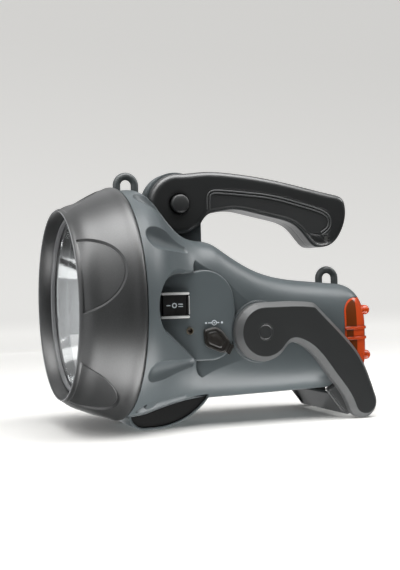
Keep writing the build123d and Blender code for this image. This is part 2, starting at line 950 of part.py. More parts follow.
def switch_frame():
    """The switch's bezel with its two side rails, and the hollow body behind it."""
    half_x, half_z = switch_width / 2, switch_height / 2
    window_x, window_z = half_x - switch_end_rail, half_z - switch_side_rail
    face = -panel_plane - switch_flange
    frame = block((-half_x, half_x), (face, -panel_plane), (-half_z, half_z))
    frame = fillet(frame.edges().filter_by(Axis.Y), switch_corner)
    for side in (-1, 1):
        span = sorted((side * window_z, side * (half_z - switch_rail_inset)))
        rail_reach = half_x - switch_rail_inset
        rail = block((-rail_reach, rail_reach), (face - switch_rail_height, face), span)
        frame += fillet(rail.faces().sort_by(Axis.Y)[0].edges(), switch_rail_round)
    body_x, body_z = half_x - switch_body_inset - seat_clearance, half_z - switch_body_inset - seat_clearance
    frame += block((-body_x, body_x), (-panel_plane, -panel_plane + switch_body_depth), (-body_z, body_z))
    window_y = (face - overrun, rocker_axis_y() + rocker_room)
    frame -= block((-window_x, window_x), window_y, (-window_z, window_z))
    pin_bore = Cylinder(rocker_pin_radius + shaft_clearance, 2 * (window_z + rocker_pin_reach))
    frame -= Pos(0, rocker_axis_y(), 0) * pin_bore
    return Pos(switch_x, 0, switch_z) * frame


def rocker_axis_y():
    """The rocker turns about an upright pin just inside the panel."""
    return -panel_plane + wall


def switch_rocker():
    """A dished rocker on its two pins."""
    half_x = switch_width / 2 - switch_end_rail - rocker_end_gap
    half_z = switch_height / 2 - switch_side_rail - seat_clearance
    top = switch_flange + wall + rocker_proud
    outline = Polyline(
        (-half_x, -rocker_skirt),
        (-half_x, top),
        (0, top - rocker_dish),
        (half_x, top),
        (half_x, -rocker_skirt),
        (half_x / 4, -rocker_depth + rocker_skirt),
        (-half_x / 4, -rocker_depth + rocker_skirt),
        (-half_x, -rocker_skirt),
    )
    plane = Plane(origin=(0, 0, -half_z), x_dir=(1, 0, 0), z_dir=(0, 0, -1))
    rocker = extrude(plane * make_face(outline), amount=-2 * half_z)
    pin = Cylinder(rocker_pin_radius, 2 * (half_z + rocker_pin_reach))
    return Pos(switch_x, rocker_axis_y(), switch_z) * (rocker + pin)


def switch_terminals():
    """Three blades behind the switch."""
    start = -panel_plane + switch_body_depth
    blades = []
    for step in (-1, 0, 1):
        x = switch_x + step * terminal_pitch
        blades.append(
            block(
                (x - terminal_thickness / 2, x + terminal_thickness / 2),
                (start, start + terminal_length),
                (switch_z - terminal_width / 2, switch_z + terminal_width / 2),
            )
        )
    return Compound(children=[blade.solids()[0] for blade in blades])


def board_front():
    """How far the charging board's outer face stands from the joint plane."""
    return board_plane + board_thickness


def board_spans():
    """The charging board's extent in x and z."""
    middle_x = (led_x + jack_x) / 2 + board_shift
    middle_z = (led_z + jack_z) / 2
    return (
        (middle_x - board_length / 2, middle_x + board_length / 2),
        (middle_z - board_height / 2, middle_z + board_height / 2),
    )


def board_post_places():
    """The two corners of the board that stand on posts."""
    (left, right), (low, high) = board_spans()
    margin = board_post_radius + board_thickness
    return ((left + margin, low + margin), (right - margin, high - margin))


def charge_board():
    """The charging board with its two largest components."""
    span_x, span_z = board_spans()
    board = block(span_x, (-board_front(), -board_plane), span_z)
    for step in (0, 1):
        low = span_x[0] + board_chip * (1 + 2 * step)
        board += block(
            (low, low + board_chip),
            (-board_plane, -board_plane + board_chip_height),
            (jack_z, jack_z + board_chip),
        )
    return board


def led_indicator():
    """The charge light: a domed lamp standing on the board."""
    tip = -panel_plane + led_ring_height
    radius = led_radius - shaft_clearance
    stem = rod_y(led_x, led_z, radius, -board_front(), tip + radius)
    return stem + Pos(led_x, tip + radius, led_z) * Sphere(radius)


def led_ring():
    """The small collar round the charge light."""
    ring = rod_y(led_x, led_z, led_ring_radius, -panel_plane - led_ring_height, -panel_plane)
    ring += rod_y(led_x, led_z, led_radius + led_ring_skirt, -panel_plane, -panel_plane + wall)
    return ring - rod_y(led_x, led_z, led_radius, -panel_plane - overrun, -panel_plane + wall + overrun)


def dc_jack():
    """The charging socket: a barrel with a centre pin, standing on the board."""
    front = -panel_plane + jack_lip
    barrel = rod_y(jack_x, jack_z, jack_radius - seat_clearance, -board_front(), front)
    floor = -board_front() - jack_floor
    barrel -= rod_y(jack_x, jack_z, cap_plug_radius + free_gap, front - overrun, floor)
    return barrel + rod_y(jack_x, jack_z, jack_pin_radius, floor, floor - jack_pin_length)


def cap_frame():
    """Plane of the socket cap: its X runs along the strap, its Z stands off the panel."""
    turn = radians(cap_turn)
    return Plane(origin=(jack_x, -panel_plane, jack_z), x_dir=(cos(turn), 0, sin(turn)), z_dir=(0, -1, 0))


def socket_cap():
    """The rubber cap with its plug, its strap and the bead that the strap folds on."""
    lift = seat_clearance
    up = Align.MIN
    disc = Pos(0, 0, lift) * Cylinder(cap_radius, cap_height, align=(Align.CENTER, Align.CENTER, up))
    disc = fillet(disc.edges().sort_by(Axis.Z)[-1], cap_edge)
    dish = Pos(0, 0, lift + cap_height - cap_dish) * Cylinder(
        cap_radius * cap_dish_share, cap_height, align=(Align.CENTER, Align.CENTER, up)
    )
    grip = Pos(0, 0, lift + cap_height - cap_dish) * Box(
        cap_radius, cap_grip_width, cap_dish, align=(Align.CENTER, Align.CENTER, up)
    )
    plug = Pos(0, 0, -cap_plug_length) * Cylinder(
        cap_plug_radius, cap_plug_length + lift, align=(Align.CENTER, Align.CENTER, up)
    )
    strap = Pos(0, 0, lift) * Box(
        cap_reach, cap_tab_width, cap_tab_height, align=(Align.MIN, Align.CENTER, up)
    )
    bead_z = cap_bead_radius + lift
    bead = Pos(cap_reach, 0, bead_z) * Rot(90, 0, 0) * Cylinder(cap_bead_radius, cap_tab_width)
    cap = disc - dish + grip + plug + strap + bead
    return cap_frame() * cap


def cap_root(gap=0.0):
    """The strap's fixed root, held in its slit in the panel."""
    start = cap_reach + cap_bead_radius + seat_clearance
    head = Pos(start, 0, 0) * Box(
        cap_root_length, cap_tab_width, cap_tab_height, align=(Align.MIN, Align.CENTER, Align.MIN)
    )
    tongue = Pos(start + cap_root_length / 2 + gap, 0, 0) * Box(
        cap_root_length / 2 - 2 * gap,
        cap_tab_width - cap_bead_radius - 2 * gap,
        wall,
        align=(Align.MIN, Align.CENTER, Align.MAX),
    )
    return cap_frame() * (tongue if gap else head + tongue)


def handle_shaft():
    """The hollow shaft through the lug, with a web that backs the button's spring."""
    shaft = rod_y(hub_x, hub_z, shaft_radius - shaft_clearance, -shaft_reach, shaft_reach)
    near = rod_y(hub_x, hub_z, shaft_bore, -shaft_reach - overrun, spring_seat())
    far = rod_y(hub_x, hub_z, shaft_bore, spring_seat() + shaft_web, shaft_reach + overrun)
    return shaft - near - far


def spring_seat():
    """Where the spring bears on the shaft's web."""
    return stem_end() + spring_length


def stem_end():
    """Inner end of the button's stem at rest."""
    return -shaft_reach + button_stem_reach


def handle_button():
    """The release button: a domed head on a stem."""
    outer = -grip_half_width - button_proud
    head = rod_y(hub_x, hub_z, button_radius, outer, outer + button_head)
    head = fillet(head.faces().sort_by(Axis.Y)[0].edges(), button_edge)
    return head + rod_y(hub_x, hub_z, button_stem_radius, outer + button_head, stem_end())


def handle_spring():
    """The button's spring, as the sleeve of space that its coils fill."""
    outer = rod_y(hub_x, hub_z, spring_radius, stem_end(), spring_seat())
    inner = spring_radius - spring_wire
    return outer - rod_y(hub_x, hub_z, inner, stem_end() - overrun, spring_seat() + overrun)


def grip_point(along, up):
    """A place in the handle's side view, in shares of the grip's reach from the hub."""
    return (hub_x + along * grip_reach, hub_z + up * grip_reach)


def grip_outline():
    """Side view of the handle: hub, bowed back, blunt rear end and waisted underside."""
    web_turn = radians(hub_web_angle)
    hub_top = (hub_x, hub_z + hub_radius)
    hub_web = (hub_x + hub_radius * cos(web_turn), hub_z + hub_radius * sin(web_turn))
    hub_front = (hub_x - hub_radius * cos(web_turn), hub_z + hub_radius * sin(web_turn))
    skin = Spline(
        hub_top,
        *[grip_point(*share) for share in grip_shares],
        hub_web,
        tangents=[(1, 0), (sin(web_turn), -cos(web_turn))],
    )
    return loop_of(skin, ThreePointArc(hub_web, hub_front, hub_top))


def grip_body():
    """The whole handle before it is parted: grip, fork and rounded edges."""
    body = side_plate(grip_outline(), grip_half_width, -grip_half_width)
    rims = body.faces().filter_by(Axis.Y)
    return fillet(rims.edges(), grip_edge_round)


def pad_region(inset=0.0):
    """The hollow on the side of the grip that takes the rubber pad."""
    points = {name: grip_point(*share) for name, share in pad_shares.items()}
    outline = loop_of(
        Line(points["front_low"], points["front"]),
        ThreePointArc(points["front"], points["brow"], points["top"]),
        ThreePointArc(points["top"], points["mid_top"], points["rear"]),
        ThreePointArc(points["rear"], points["round"], points["low"]),
        Line(points["low"], points["front_low"]),
    )
    if inset:
        return offset(make_face(outline), -inset)
    return make_face(outline)


def handle_shell(side):
    """One half of the handle, with its fork cheek, bores and pad hollow."""
    body = grip_body()
    slot = lug_half_width + cheek_gap
    body -= rod_y(hub_x, hub_z, lug_radius + free_gap + shaft_clearance, -slot, slot)
    shell = half_of(body, side)
    outer = side * grip_half_width
    bore_end = side * (shaft_reach + shaft_clearance)
    shell -= rod_y(hub_x, hub_z, shaft_radius, 0, bore_end)
    shell -= pad_slab(side, 0.0, pad_depth)
    if side < 0:
        recess_floor = outer + button_recess
        shell -= rod_y(hub_x, hub_z, button_recess_radius, outer - overrun, recess_floor)
        shell -= rod_y(hub_x, hub_z, button_stem_radius + shaft_clearance, outer, bore_end)
        screw_x, screw_z = grip_point(*grip_screw_share)
        shell -= rod_y(screw_x, screw_z, grip_screw_radius, outer - overrun, outer + grip_screw_depth)
    return shell


def pad_slab(side, inset, depth):
    """Space of a grip pad between the grip's flat side and a depth below it."""
    plane = Plane(origin=(0, side * (grip_half_width + overrun), 0), x_dir=(1, 0, 0), z_dir=(0, -1, 0))
    return extrude(plane * pad_region(inset), amount=side * (depth + overrun))


def grip_pad(side):
    """A soft pad let into the side of the grip."""
    sheet = pad_slab(side, pad_gap, pad_depth) - pad_slab(side, 0.0, pad_sink)
    return sheet & grip_body()


def grip_screw():
    """The screw that closes the rear of the handle."""
    x, z = grip_point(*grip_screw_share)
    start = -grip_half_width + grip_screw_depth
    head = rod_y(x, z, grip_screw_radius - seat_clearance, start - screw_head_height, start)
    slot = screw_head_height / 2
    return head - block(
        (x - grip_screw_radius, x + grip_screw_radius),
        (start - screw_head_height, start - slot),
        (z - slot / 2, z + slot / 2),
    )


def stand_point(along, across):
    """A place in the stand arm's side view, in shares of its reach from hub to tip."""
    reach_x = stand_tip_x - stand_x
    reach_z = -axis_height + stand_tip_radius - stand_z
    return (
        stand_x + along * reach_x - across * reach_z,
        stand_z + along * reach_z + across * reach_x,
    )


def stand_outline():
    """Side view of a stand arm: round hub, bent back and round tip."""
    points = {name: stand_point(*share) for name, share in stand_shares.items()}
    notch = radians(stand_notch_angle)
    tip_turn = radians(stand_tip_angle)
    hub_notch = (stand_x + stand_hub_radius * cos(notch), stand_z + stand_hub_radius * sin(notch))
    hub_top = (stand_x, stand_z + stand_hub_radius)
    hub_front = (stand_x - stand_hub_radius, stand_z)
    tip_arc = CenterArc(stand_point(1, 0), stand_tip_radius, stand_tip_angle, -180)
    back = Spline(
        hub_top,
        points["crest"],
        points["bend"],
        points["shoulder"],
        points["back"],
        tip_arc @ 0,
        tangents=[(1, 0), (sin(tip_turn), -cos(tip_turn))],
    )
    front = Spline(
        tip_arc @ 1,
        points["shin"],
        points["knee"],
        points["notch"],
        hub_notch,
        tangents=[(-sin(tip_turn), cos(tip_turn)), (sin(notch), -cos(notch))],
    )
    return loop_of(back, tip_arc, front, ThreePointArc(hub_notch, hub_front, hub_top))


def stand_arm(side):
    """One arm of the stand, bevelled on its outer face and bored for its bolt."""
    outer = side * (stand_inner + stand_thickness)
    spans = sorted((side * stand_inner, outer), reverse=True)
    arm = side_plate(stand_outline(), *spans)
    face = arm.faces().filter_by(Axis.Y).sort_by(Axis.Y)[0 if side < 0 else -1]
    arm = chamfer(face.edges(), stand_bevel, stand_bevel_width, reference=face)
    arm -= rod_y(stand_x, stand_z, stand_bolt_radius + shaft_clearance, 0, outer + side * overrun)
    head_floor = outer - side * stand_counterbore
    arm -= rod_y(stand_x, stand_z, stand_cap_radius + shaft_clearance, head_floor, outer + side * overrun)
    return arm


def stand_bolts():
    """The two bolts that the stand turns on."""
    bolts = []
    for side in (-1, 1):
        floor = side * (stand_inner + stand_thickness - stand_counterbore)
        head_low = floor + side * shaft_clearance
        shank = rod_y(stand_x, stand_z, stand_bolt_radius, side * (stand_inner - stand_bolt_reach), head_low)
        head = rod_y(stand_x, stand_z, stand_bolt_head_radius, head_low, head_low + side * stand_bolt_head)
        bolts.append((shank + head).solids()[0])
    return Compound(children=bolts)


def stand_caps():
    """The two discs that close the stand's bolt holes."""
    discs = []
    for side in (-1, 1):
        outer = side * (stand_inner + stand_thickness)
        disc = rod_y(stand_x, stand_z, stand_cap_radius, outer - side * stand_cap_height, outer)
        discs.append(disc.solids()[0])
    return Compound(children=discs)


def stand_crossbar():
    """The plate that ties the two arms together near their tips."""
    lower, upper = stand_point(*bar_low_share), stand_point(*bar_high_share)
    along = Vector(upper[0] - lower[0], upper[1] - lower[1])
    length = along.length
    centre = ((upper[0] + lower[0]) / 2, (upper[1] + lower[1]) / 2)
    plane = Plane(
        origin=(centre[0], stand_inner, centre[1]),
        x_dir=(along.X / length, 0, along.Y / length),
        z_dir=(0, -1, 0),
    )
    section = RectangleRounded(length, bar_thickness, bar_thickness * bar_round_share)
    return extrude(plane * section, 2 * stand_inner)


def foot_pad(side):
    """The dark rubber insert in one side of the foot."""
    floor = side * (foot_half_width - foot_pocket)
    outer = floor + side * foot_pad_thickness
    pad = side_plate(foot_outline(foot_rim + seat_clearance), *sorted((floor, outer), reverse=True))
    return pad - envelope(-foot_rim / 2 - seat_clearance)


def tail_lens():
    """The amber window that wraps round the tail, with two bumper bars."""
    window = tail_window(seat_clearance)
    lens = envelope() & window
    bar_x = overall_length - bezel_depth - tail_bar_radius
    for level in (tail_window_top - tail_bar_inset, tail_window_bottom + tail_bar_inset):
        lens += rod_y(bar_x, level, tail_bar_radius, -tail_bar_half_length, tail_bar_half_length)
        for side in (-1, 1):
            lens += Pos(bar_x, side * tail_bar_half_length, level) * Sphere(tail_bar_radius)
    everything = (-seam_radius, seam_radius)
    for share in tail_rib_shares:
        level = tail_window_top + (tail_window_bottom - tail_window_top) * share
        band = (level - tail_rib_width / 2, level + tail_rib_width / 2)
        slab = block((0, overall_length), everything, band)
        lens += envelope(-tail_rib_height) & slab & window
    return lens - envelope(tail_lens_wall)


def tail_posts():
    """Four short posts on the bulkhead that carry the tail light's board."""
    return [rod_x(y, z, board_post_radius, tail_window_front, tail_board_x) for y, z in tail_post_places()]


def tail_post_places():
    """The posts stand near the corners of the tail light's board."""
    half, low, high = tail_board_size()
    margin = board_post_radius + board_thickness
    return [(side * (half - margin), z) for side in (-1, 1) for z in (low + margin, high - margin)]


def tail_board_size():
    """Half width, bottom and top of the tail light's board."""
    return (
        tail_half_width - tail_board_margin,
        tail_window_bottom + tail_board_margin,
        tail_window_top - 2 * tail_board_margin,
    )


def tail_board():
    """The board behind the amber window."""
    half, low, high = tail_board_size()
    return block((tail_board_x, tail_board_x + board_thickness), (-half, half), (low, high))


def tail_leds():
    """Rows of small domed lamps on the tail board."""
    half, low, high = tail_board_size()
    start = tail_board_x + board_thickness
    lamps = []
    for row in range(tail_led_rows):
        level = low + (high - low) * (row + 1) / (tail_led_rows + 1)
        for column in range(tail_led_columns):
            y = -half + 2 * half * (column + 1) / (tail_led_columns + 1)
            stem = rod_x(y, level, tail_led_radius, start, start + tail_led_length)
            dome = Pos(start + tail_led_length, y, level) * Sphere(tail_led_radius)
            lamps.append((stem + dome).solids()[0])
    return Compound(children=lamps)


def battery():
    """The sealed battery block."""
    case = block(
        (battery_front, battery_front + battery_length),
        (-battery_width / 2, battery_width / 2),
        (battery_bottom, battery_bottom + battery_height),
    )
    return fillet(case.edges().filter_by(Axis.Z), battery_edge)


def battery_tabs():
    """The two blade terminals on the battery's lid."""
    top = battery_bottom + battery_height
    x = battery_front + battery_tab_width
    tabs = []
    for side in (-1, 1):
        y = side * battery_tab_spread
        tabs.append(
            block(
                (x - battery_tab_width / 2, x + battery_tab_width / 2),
                (y - battery_tab_thickness / 2, y + battery_tab_thickness / 2),
                (top, top + battery_tab_length),
            ).solids()[0]
        )
    return Compound(children=tabs)


def battery_foam():
    """Foam strips that the ribs press down on the battery's lid."""
    top = battery_bottom + battery_height
    half = battery_width / 2 - battery_edge
    strips = []
    for x in rib_places():
        strip = block((x - rib_thickness, x + 2 * rib_thickness), (-half, half), (top, top + foam_thickness))
        strips.append(strip.solids()[0])
    return Compound(children=strips)


def housing_screws():
    """The screws that draw the two shells together."""
    screws = []
    for x, z in screw_places():
        shank = rod_y(x, z, screw_shank_radius - shaft_clearance, -screw_depth, screw_grip)
        head = rod_y(x, z, screw_head_radius, screw_grip, screw_grip + screw_head_height)
        screws.append((shank + head).solids()[0])
    return Compound(children=screws)


def main():
    """Build every piece and save it."""
    os.makedirs("parts", exist_ok=True)
    body = housing()
    seat = -bezel_depth + lens_recess
    ring_back = seat + lens_ring_thickness
    lens_back = ring_back + lens_thickness
    seated = lens_radius - seat_clearance
    pieces = {
        "housing_left": half_of(body, -1),
        "housing_right": half_of(body, 1),
        "bezel_ring": bezel_ring(),
        "lens_ring": disc_x(seated, lens_radius - lens_ring_width, seat, lens_ring_thickness),
        "lens_glass": disc_x(seated, 0, ring_back, lens_thickness),
        "lens_gasket": disc_x(seated, reflector_mouth, lens_back, gasket_thickness),
        "reflector": reflector(),
        "halogen_bulb": halogen_bulb(),
        "bulb_base": bulb_base(),
        "bulb_clip": bulb_clip(),
        "switch_frame": switch_frame(),
        "switch_rocker": switch_rocker(),
        "switch_terminals": switch_terminals(),
        "charge_board": charge_board(),
        "led_indicator": led_indicator(),
        "led_ring": led_ring(),
        "dc_jack": dc_jack(),
        "socket_cap": socket_cap(),
        "cap_strap_root": cap_root(),
        "handle_shaft": handle_shaft(),
        "handle_shell_left": handle_shell(-1),
        "handle_shell_right": handle_shell(1),
        "grip_pad_left": grip_pad(-1),
        "grip_pad_right": grip_pad(1),
        "grip_screw": grip_screw(),
        "handle_button": handle_button(),
        "handle_spring": handle_spring(),
        "strap_loop_front": loop_body(front_loop_x, front_loop_z),
        "strap_loop_rear": loop_body(rear_loop_x, rear_loop_z),
        "stand_arm_left": stand_arm(-1),
        "stand_arm_right": stand_arm(1),
        "stand_crossbar": stand_crossbar(),
        "stand_bolts": stand_bolts(),
        "stand_caps": stand_caps(),
        "foot_pad_left": foot_pad(-1),
        "foot_pad_right": foot_pad(1),
        "tail_lens": tail_lens(),
        "tail_board": tail_board(),
        "tail_leds": tail_leds(),
        "battery": battery(),
        "battery_tabs": battery_tabs(),
        "battery_foam": battery_foam(),
        "housing_screws": housing_screws(),
    }
    for name, shape in pieces.items():
        write(name, shape)


if __name__ == "__main__":
    main()
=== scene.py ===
"""Hand spotlight: the finish of every surface and the fine moulded detail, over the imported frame.

Lengths are in metres, and those in the beam frame in millimetres. The lamp shines along -X, its switch
side is at -Y and +Z is up.
"""

import math

import bmesh
import bpy
from mathutils import Matrix, Vector
from mathutils.geometry import delaunay_2d_cdt, interpolate_bezier


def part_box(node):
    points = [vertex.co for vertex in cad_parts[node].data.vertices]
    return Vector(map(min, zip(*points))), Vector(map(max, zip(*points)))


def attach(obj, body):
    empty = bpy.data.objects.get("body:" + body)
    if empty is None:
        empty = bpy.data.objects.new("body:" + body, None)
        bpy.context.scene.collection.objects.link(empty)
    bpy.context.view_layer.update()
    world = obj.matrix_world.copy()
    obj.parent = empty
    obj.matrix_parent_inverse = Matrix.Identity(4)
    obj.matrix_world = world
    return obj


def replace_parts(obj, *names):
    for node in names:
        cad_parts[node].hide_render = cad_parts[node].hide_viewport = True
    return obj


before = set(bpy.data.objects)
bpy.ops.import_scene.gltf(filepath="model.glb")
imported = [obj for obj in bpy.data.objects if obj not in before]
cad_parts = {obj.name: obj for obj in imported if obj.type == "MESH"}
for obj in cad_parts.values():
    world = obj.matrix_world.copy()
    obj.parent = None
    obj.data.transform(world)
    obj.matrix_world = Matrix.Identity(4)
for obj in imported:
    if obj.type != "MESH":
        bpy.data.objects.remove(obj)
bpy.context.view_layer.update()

MM = 0.001

# Beam frame, in millimetres: x = 0 at the seam behind the bezel, y = 0 on the joint plane
# of the housing, z = 0 on the beam axis
BEZEL_DEPTH = 58.0
BEZEL_GAP = 0.8
bezel_low, bezel_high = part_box("bezel_ring")
AXIS_HEIGHT = (bezel_low.z + bezel_high.z) / 2
SEAM_X = bezel_low.x + BEZEL_DEPTH * MM
BEAM_FRAME = Matrix.Translation((SEAM_X, 0, AXIS_HEIGHT)) @ Matrix.Scale(MM, 4)


# Colour and node helpers
def linear(hex_colour, alpha=1.0):
    """An sRGB hex colour as linear values."""
    channels = []
    for start in (1, 3, 5):
        value = int(hex_colour[start : start + 2], 16) / 255
        channels.append(value / 12.92 if value <= 0.04045 else ((value + 0.055) / 1.055) ** 2.4)
    return (*channels, alpha)


def add(tree, kind, inputs=None, **settings):
    """Adds a node, sets it up and fills or links its inputs."""
    node = tree.nodes.new(kind)
    for name, value in settings.items():
        setattr(node, name, value)
    for name, value in (inputs or {}).items():
        socket = node.inputs[name]
        if isinstance(value, bpy.types.NodeSocket):
            tree.links.new(value, socket)
        else:
            socket.default_value = value
    return node


def new_material(name, **surface):
    """A material whose shader is set by its sockets' names, and its node tree."""
    material = bpy.data.materials.new(name)
    material.use_nodes = True
    tree = material.node_tree
    shader = tree.nodes["Principled BSDF"]
    for socket, value in surface.items():
        shader.inputs[socket.replace("_", " ")].default_value = value
    return material, tree, shader


# Where the noise has most of its values, where a face turns from flat into bevel and takes a painted
# highlight (as its normal's share along Y), and where the painted shade of a hollow starts and ends (as the
# share of open sky over it)
GRAIN_SPREAD = (0.35, 0.65)
MARK_SPREAD = (0.3, 0.7)
BEVEL_TURN = (0.97, 0.88)
HOLLOW_OPEN = (0.3, 0.75)
HOLLOW_REACH = 30.0


def moulded(
    name, dark, light, mottle_mm, grain_mm, grain_height_mm, rough, edge_mm,
    speckle=0.0, hollow_shade=0.0, bevel_highlight=None, **surface,
):
    """Moulded plastic or rubber: drifting colour, a fine grain, soft edges, painted shade in hollow places, a
    painted highlight on bevels.
    """
    material, tree, shader = new_material(name, Roughness=rough, IOR=1.5, **surface)
    place = add(tree, "ShaderNodeTexCoord").outputs["Object"]
    drift = add(tree, "ShaderNodeTexNoise", {"Vector": place, "Scale": 1 / (mottle_mm * MM), "Detail": 3.0})
    grain = add(tree, "ShaderNodeTexNoise", {"Vector": place, "Scale": 1 / (grain_mm * MM), "Detail": 2.0})
    height, share = grain.outputs["Fac"], drift.outputs["Fac"]
    if speckle:
        low, high = GRAIN_SPREAD
        span = {"Value": height, "From Min": low, "From Max": high, "To Min": -speckle, "To Max": speckle}
        fleck = add(tree, "ShaderNodeMapRange", span).outputs["Result"]
        share = add(tree, "ShaderNodeMath", {0: share, 1: fleck}, operation="ADD").outputs[0]
    tint = add(tree, "ShaderNodeMix", {0: share, 6: linear(dark), 7: linear(light)}, data_type="RGBA")
    colour = tint.outputs[2]
    soft = add(tree, "ShaderNodeBevel", {"Radius": edge_mm * MM}, samples=4).outputs["Normal"]
    relief = {"Height": height, "Distance": grain_height_mm * MM, "Normal": soft}
    bump = add(tree, "ShaderNodeBump", relief)
    # Painted highlight: faces that turn away from ±Y, the bevels, are painted a lighter grey
    if bevel_highlight:
        normal = add(tree, "ShaderNodeNewGeometry").outputs["True Normal"]
        facing = add(tree, "ShaderNodeSeparateXYZ", {"Vector": normal}).outputs["Y"]
        sideways = add(tree, "ShaderNodeMath", {0: facing}, operation="ABSOLUTE").outputs[0]
        span = {"Value": sideways, "From Min": BEVEL_TURN[0], "From Max": BEVEL_TURN[1]}
        highlight_share = add(tree, "ShaderNodeMapRange", span).outputs["Result"]
        highlighted = add(tree, "ShaderNodeMix", {0: highlight_share, 6: colour, 7: linear(bevel_highlight)}, data_type="RGBA")
        colour = highlighted.outputs[2]
    # Painted shade: the colour is darkened where the piece's own surface closes over it, in dimples and
    # recesses
    if hollow_shade:
        reach = {"Distance": HOLLOW_REACH * MM}
        sky = add(tree, "ShaderNodeAmbientOcclusion", reach, samples=8, only_local=True).outputs["AO"]
        low, high = HOLLOW_OPEN
        span = {"Value": sky, "From Min": low, "From Max": high, "To Min": 1 - hollow_shade, "To Max": 1.0}
        shade = add(tree, "ShaderNodeMapRange", span).outputs["Result"]
        both = {0: 1.0, 6: colour, 7: shade}
        colour = add(tree, "ShaderNodeMix", both, data_type="RGBA", blend_type="MULTIPLY").outputs[2]
    tree.links.new(colour, shader.inputs["Base Color"])
    tree.links.new(bump.outputs["Normal"], shader.inputs["Normal"])
    return material


def worked(name, dark, light, mark_mm, rough, run, **surface):
    """Metal, glass or lacquer: the marks of its making, drawn out along one way, vary its tint and gloss."""
    material, tree, shader = new_material(name, **surface)
    place = add(tree, "ShaderNodeTexCoord").outputs["Object"]
    drawn = add(tree, "ShaderNodeMapping", {"Vector": place, "Scale": run}).outputs["Vector"]
    marks = add(tree, "ShaderNodeTexNoise", {"Vector": drawn, "Scale": 1 / (mark_mm * MM), "Detail": 3.0})
    share = marks.outputs["Fac"]
    tint = add(tree, "ShaderNodeMix", {0: share, 6: linear(dark), 7: linear(light)}, data_type="RGBA")
    low, high = MARK_SPREAD
    span = {"Value": share, "From Min": low, "From Max": high, "To Min": rough[0], "To Max": rough[1]}
    gloss = add(tree, "ShaderNodeMapRange", span)
    tree.links.new(tint.outputs[2], shader.inputs["Base Color"])
    tree.links.new(gloss.outputs["Result"], shader.inputs["Roughness"])
    return material


# Finishes, each named for what the real piece is made of and how its surface was made

# ABS from a finely etched mould: grey with a green cast, a satin light along its curves, and painted shade
# darkening its dimples and recesses
GREY_ABS = moulded(
    "grey_abs_moulded", "#4a5052", "#565d5f",
    mottle_mm=60.0, grain_mm=0.9, grain_height_mm=0.05, rough=0.36, edge_mm=1.6, hollow_shade=0.8,
)

# ABS under a sprayed soft-touch coat: nearly black, but broad lights spread over it as a pale haze. Its
# fleck is a few hundredths of a millimetre in the real coat, and is drawn at 1.1 mm so that it shows
SOFT_TOUCH = moulded(
    "soft_touch_coated_abs", "#1f2020", "#292a2a",
    mottle_mm=45.0, grain_mm=1.1, grain_height_mm=0.06, rough=0.42, edge_mm=0.6, speckle=0.5,
    Coat_Weight=1.0, Coat_Roughness=0.38,
)

# Glass-filled nylon from a smooth mould: black, with one broad sheen where an edge rolls over
HANDLE_NYLON = moulded(
    "handle_nylon_moulded", "#181919", "#222323",
    mottle_mm=40.0, grain_mm=0.8, grain_height_mm=0.05, rough=0.34, edge_mm=4.5,
    Coat_Weight=1.0, Coat_Roughness=0.27,
)

# The same nylon with tighter edges: a thin light on each edge and a quiet face
BLACK_NYLON = moulded(
    "black_nylon_moulded", "#262727", "#303131",
    mottle_mm=40.0, grain_mm=0.8, grain_height_mm=0.04, rough=0.36, edge_mm=1.0,
)

# The same nylon on the grip's beads, a little smoother, and painted lighter grey as a painted highlight: two
# fine grey lines
BEAD_NYLON = moulded(
    "bead_nylon_painted_highlight", "#3d3e3e", "#4b4c4c",
    mottle_mm=30.0, grain_mm=0.8, grain_height_mm=0.02, rough=0.28, edge_mm=0.2,
)

# The stand's small discs in nylon from a polished mould: a bright crescent on the rim of each dish
CAP_NYLON = moulded(
    "cap_nylon_polished", "#2c2d2d", "#363737",
    mottle_mm=20.0, grain_mm=0.8, grain_height_mm=0.02, rough=0.26, edge_mm=0.3,
)

# Soft rubber moulded on to the handle: dark and nearly without shine, so its beads stand out
GRIP_RUBBER = moulded(
    "grip_rubber_moulded", "#1e1f1f", "#272828",
    mottle_mm=30.0, grain_mm=0.7, grain_height_mm=0.03, rough=0.5, edge_mm=0.8,
)

# Glass-filled nylon from an etched mould: matt black faces, and bevels painted grey as a painted highlight
STAND_NYLON = moulded(
    "stand_nylon_moulded", "#242525", "#2e2f2f",
    mottle_mm=40.0, grain_mm=1.0, grain_height_mm=0.07, rough=0.38, edge_mm=1.0, bevel_highlight="#505151",
)

# The crossbar's nylon: a shade greyer than the arms
BAR_NYLON = moulded(
    "bar_nylon_moulded", "#383939", "#464747",
    mottle_mm=25.0, grain_mm=1.0, grain_height_mm=0.05, rough=0.36, edge_mm=0.8,
)

# Unfilled nylon, moulded: a mid grey that shines softly round each loop
LOOP_NYLON = moulded(
    "loop_nylon_moulded", "#434747", "#4e5252",
    mottle_mm=30.0, grain_mm=0.7, grain_height_mm=0.03, rough=0.38, edge_mm=0.6,
)

# Soft rubber, moulded: brown black, with small greasy lights along its ridges
CAP_RUBBER = moulded(
    "cap_rubber_moulded", "#1d1b19", "#2b2825",
    mottle_mm=5.0, grain_mm=0.6, grain_height_mm=0.03, rough=0.3, edge_mm=0.3,
)

# ABS from a polished mould: black with small sharp lights
BLACK_ABS = moulded(
    "black_abs_polished", "#191919", "#232222",
    mottle_mm=9.0, grain_mm=0.8, grain_height_mm=0.01, rough=0.28, edge_mm=0.4,
)

# Dense rubber, moulded: close to black, it gives almost no light back
FOOT_RUBBER = moulded(
    "foot_rubber_moulded", "#0b0b0b", "#131313",
    mottle_mm=30.0, grain_mm=1.0, grain_height_mm=0.05, rough=0.6, edge_mm=0.8,
    Specular_IOR_Level=0.25,
)

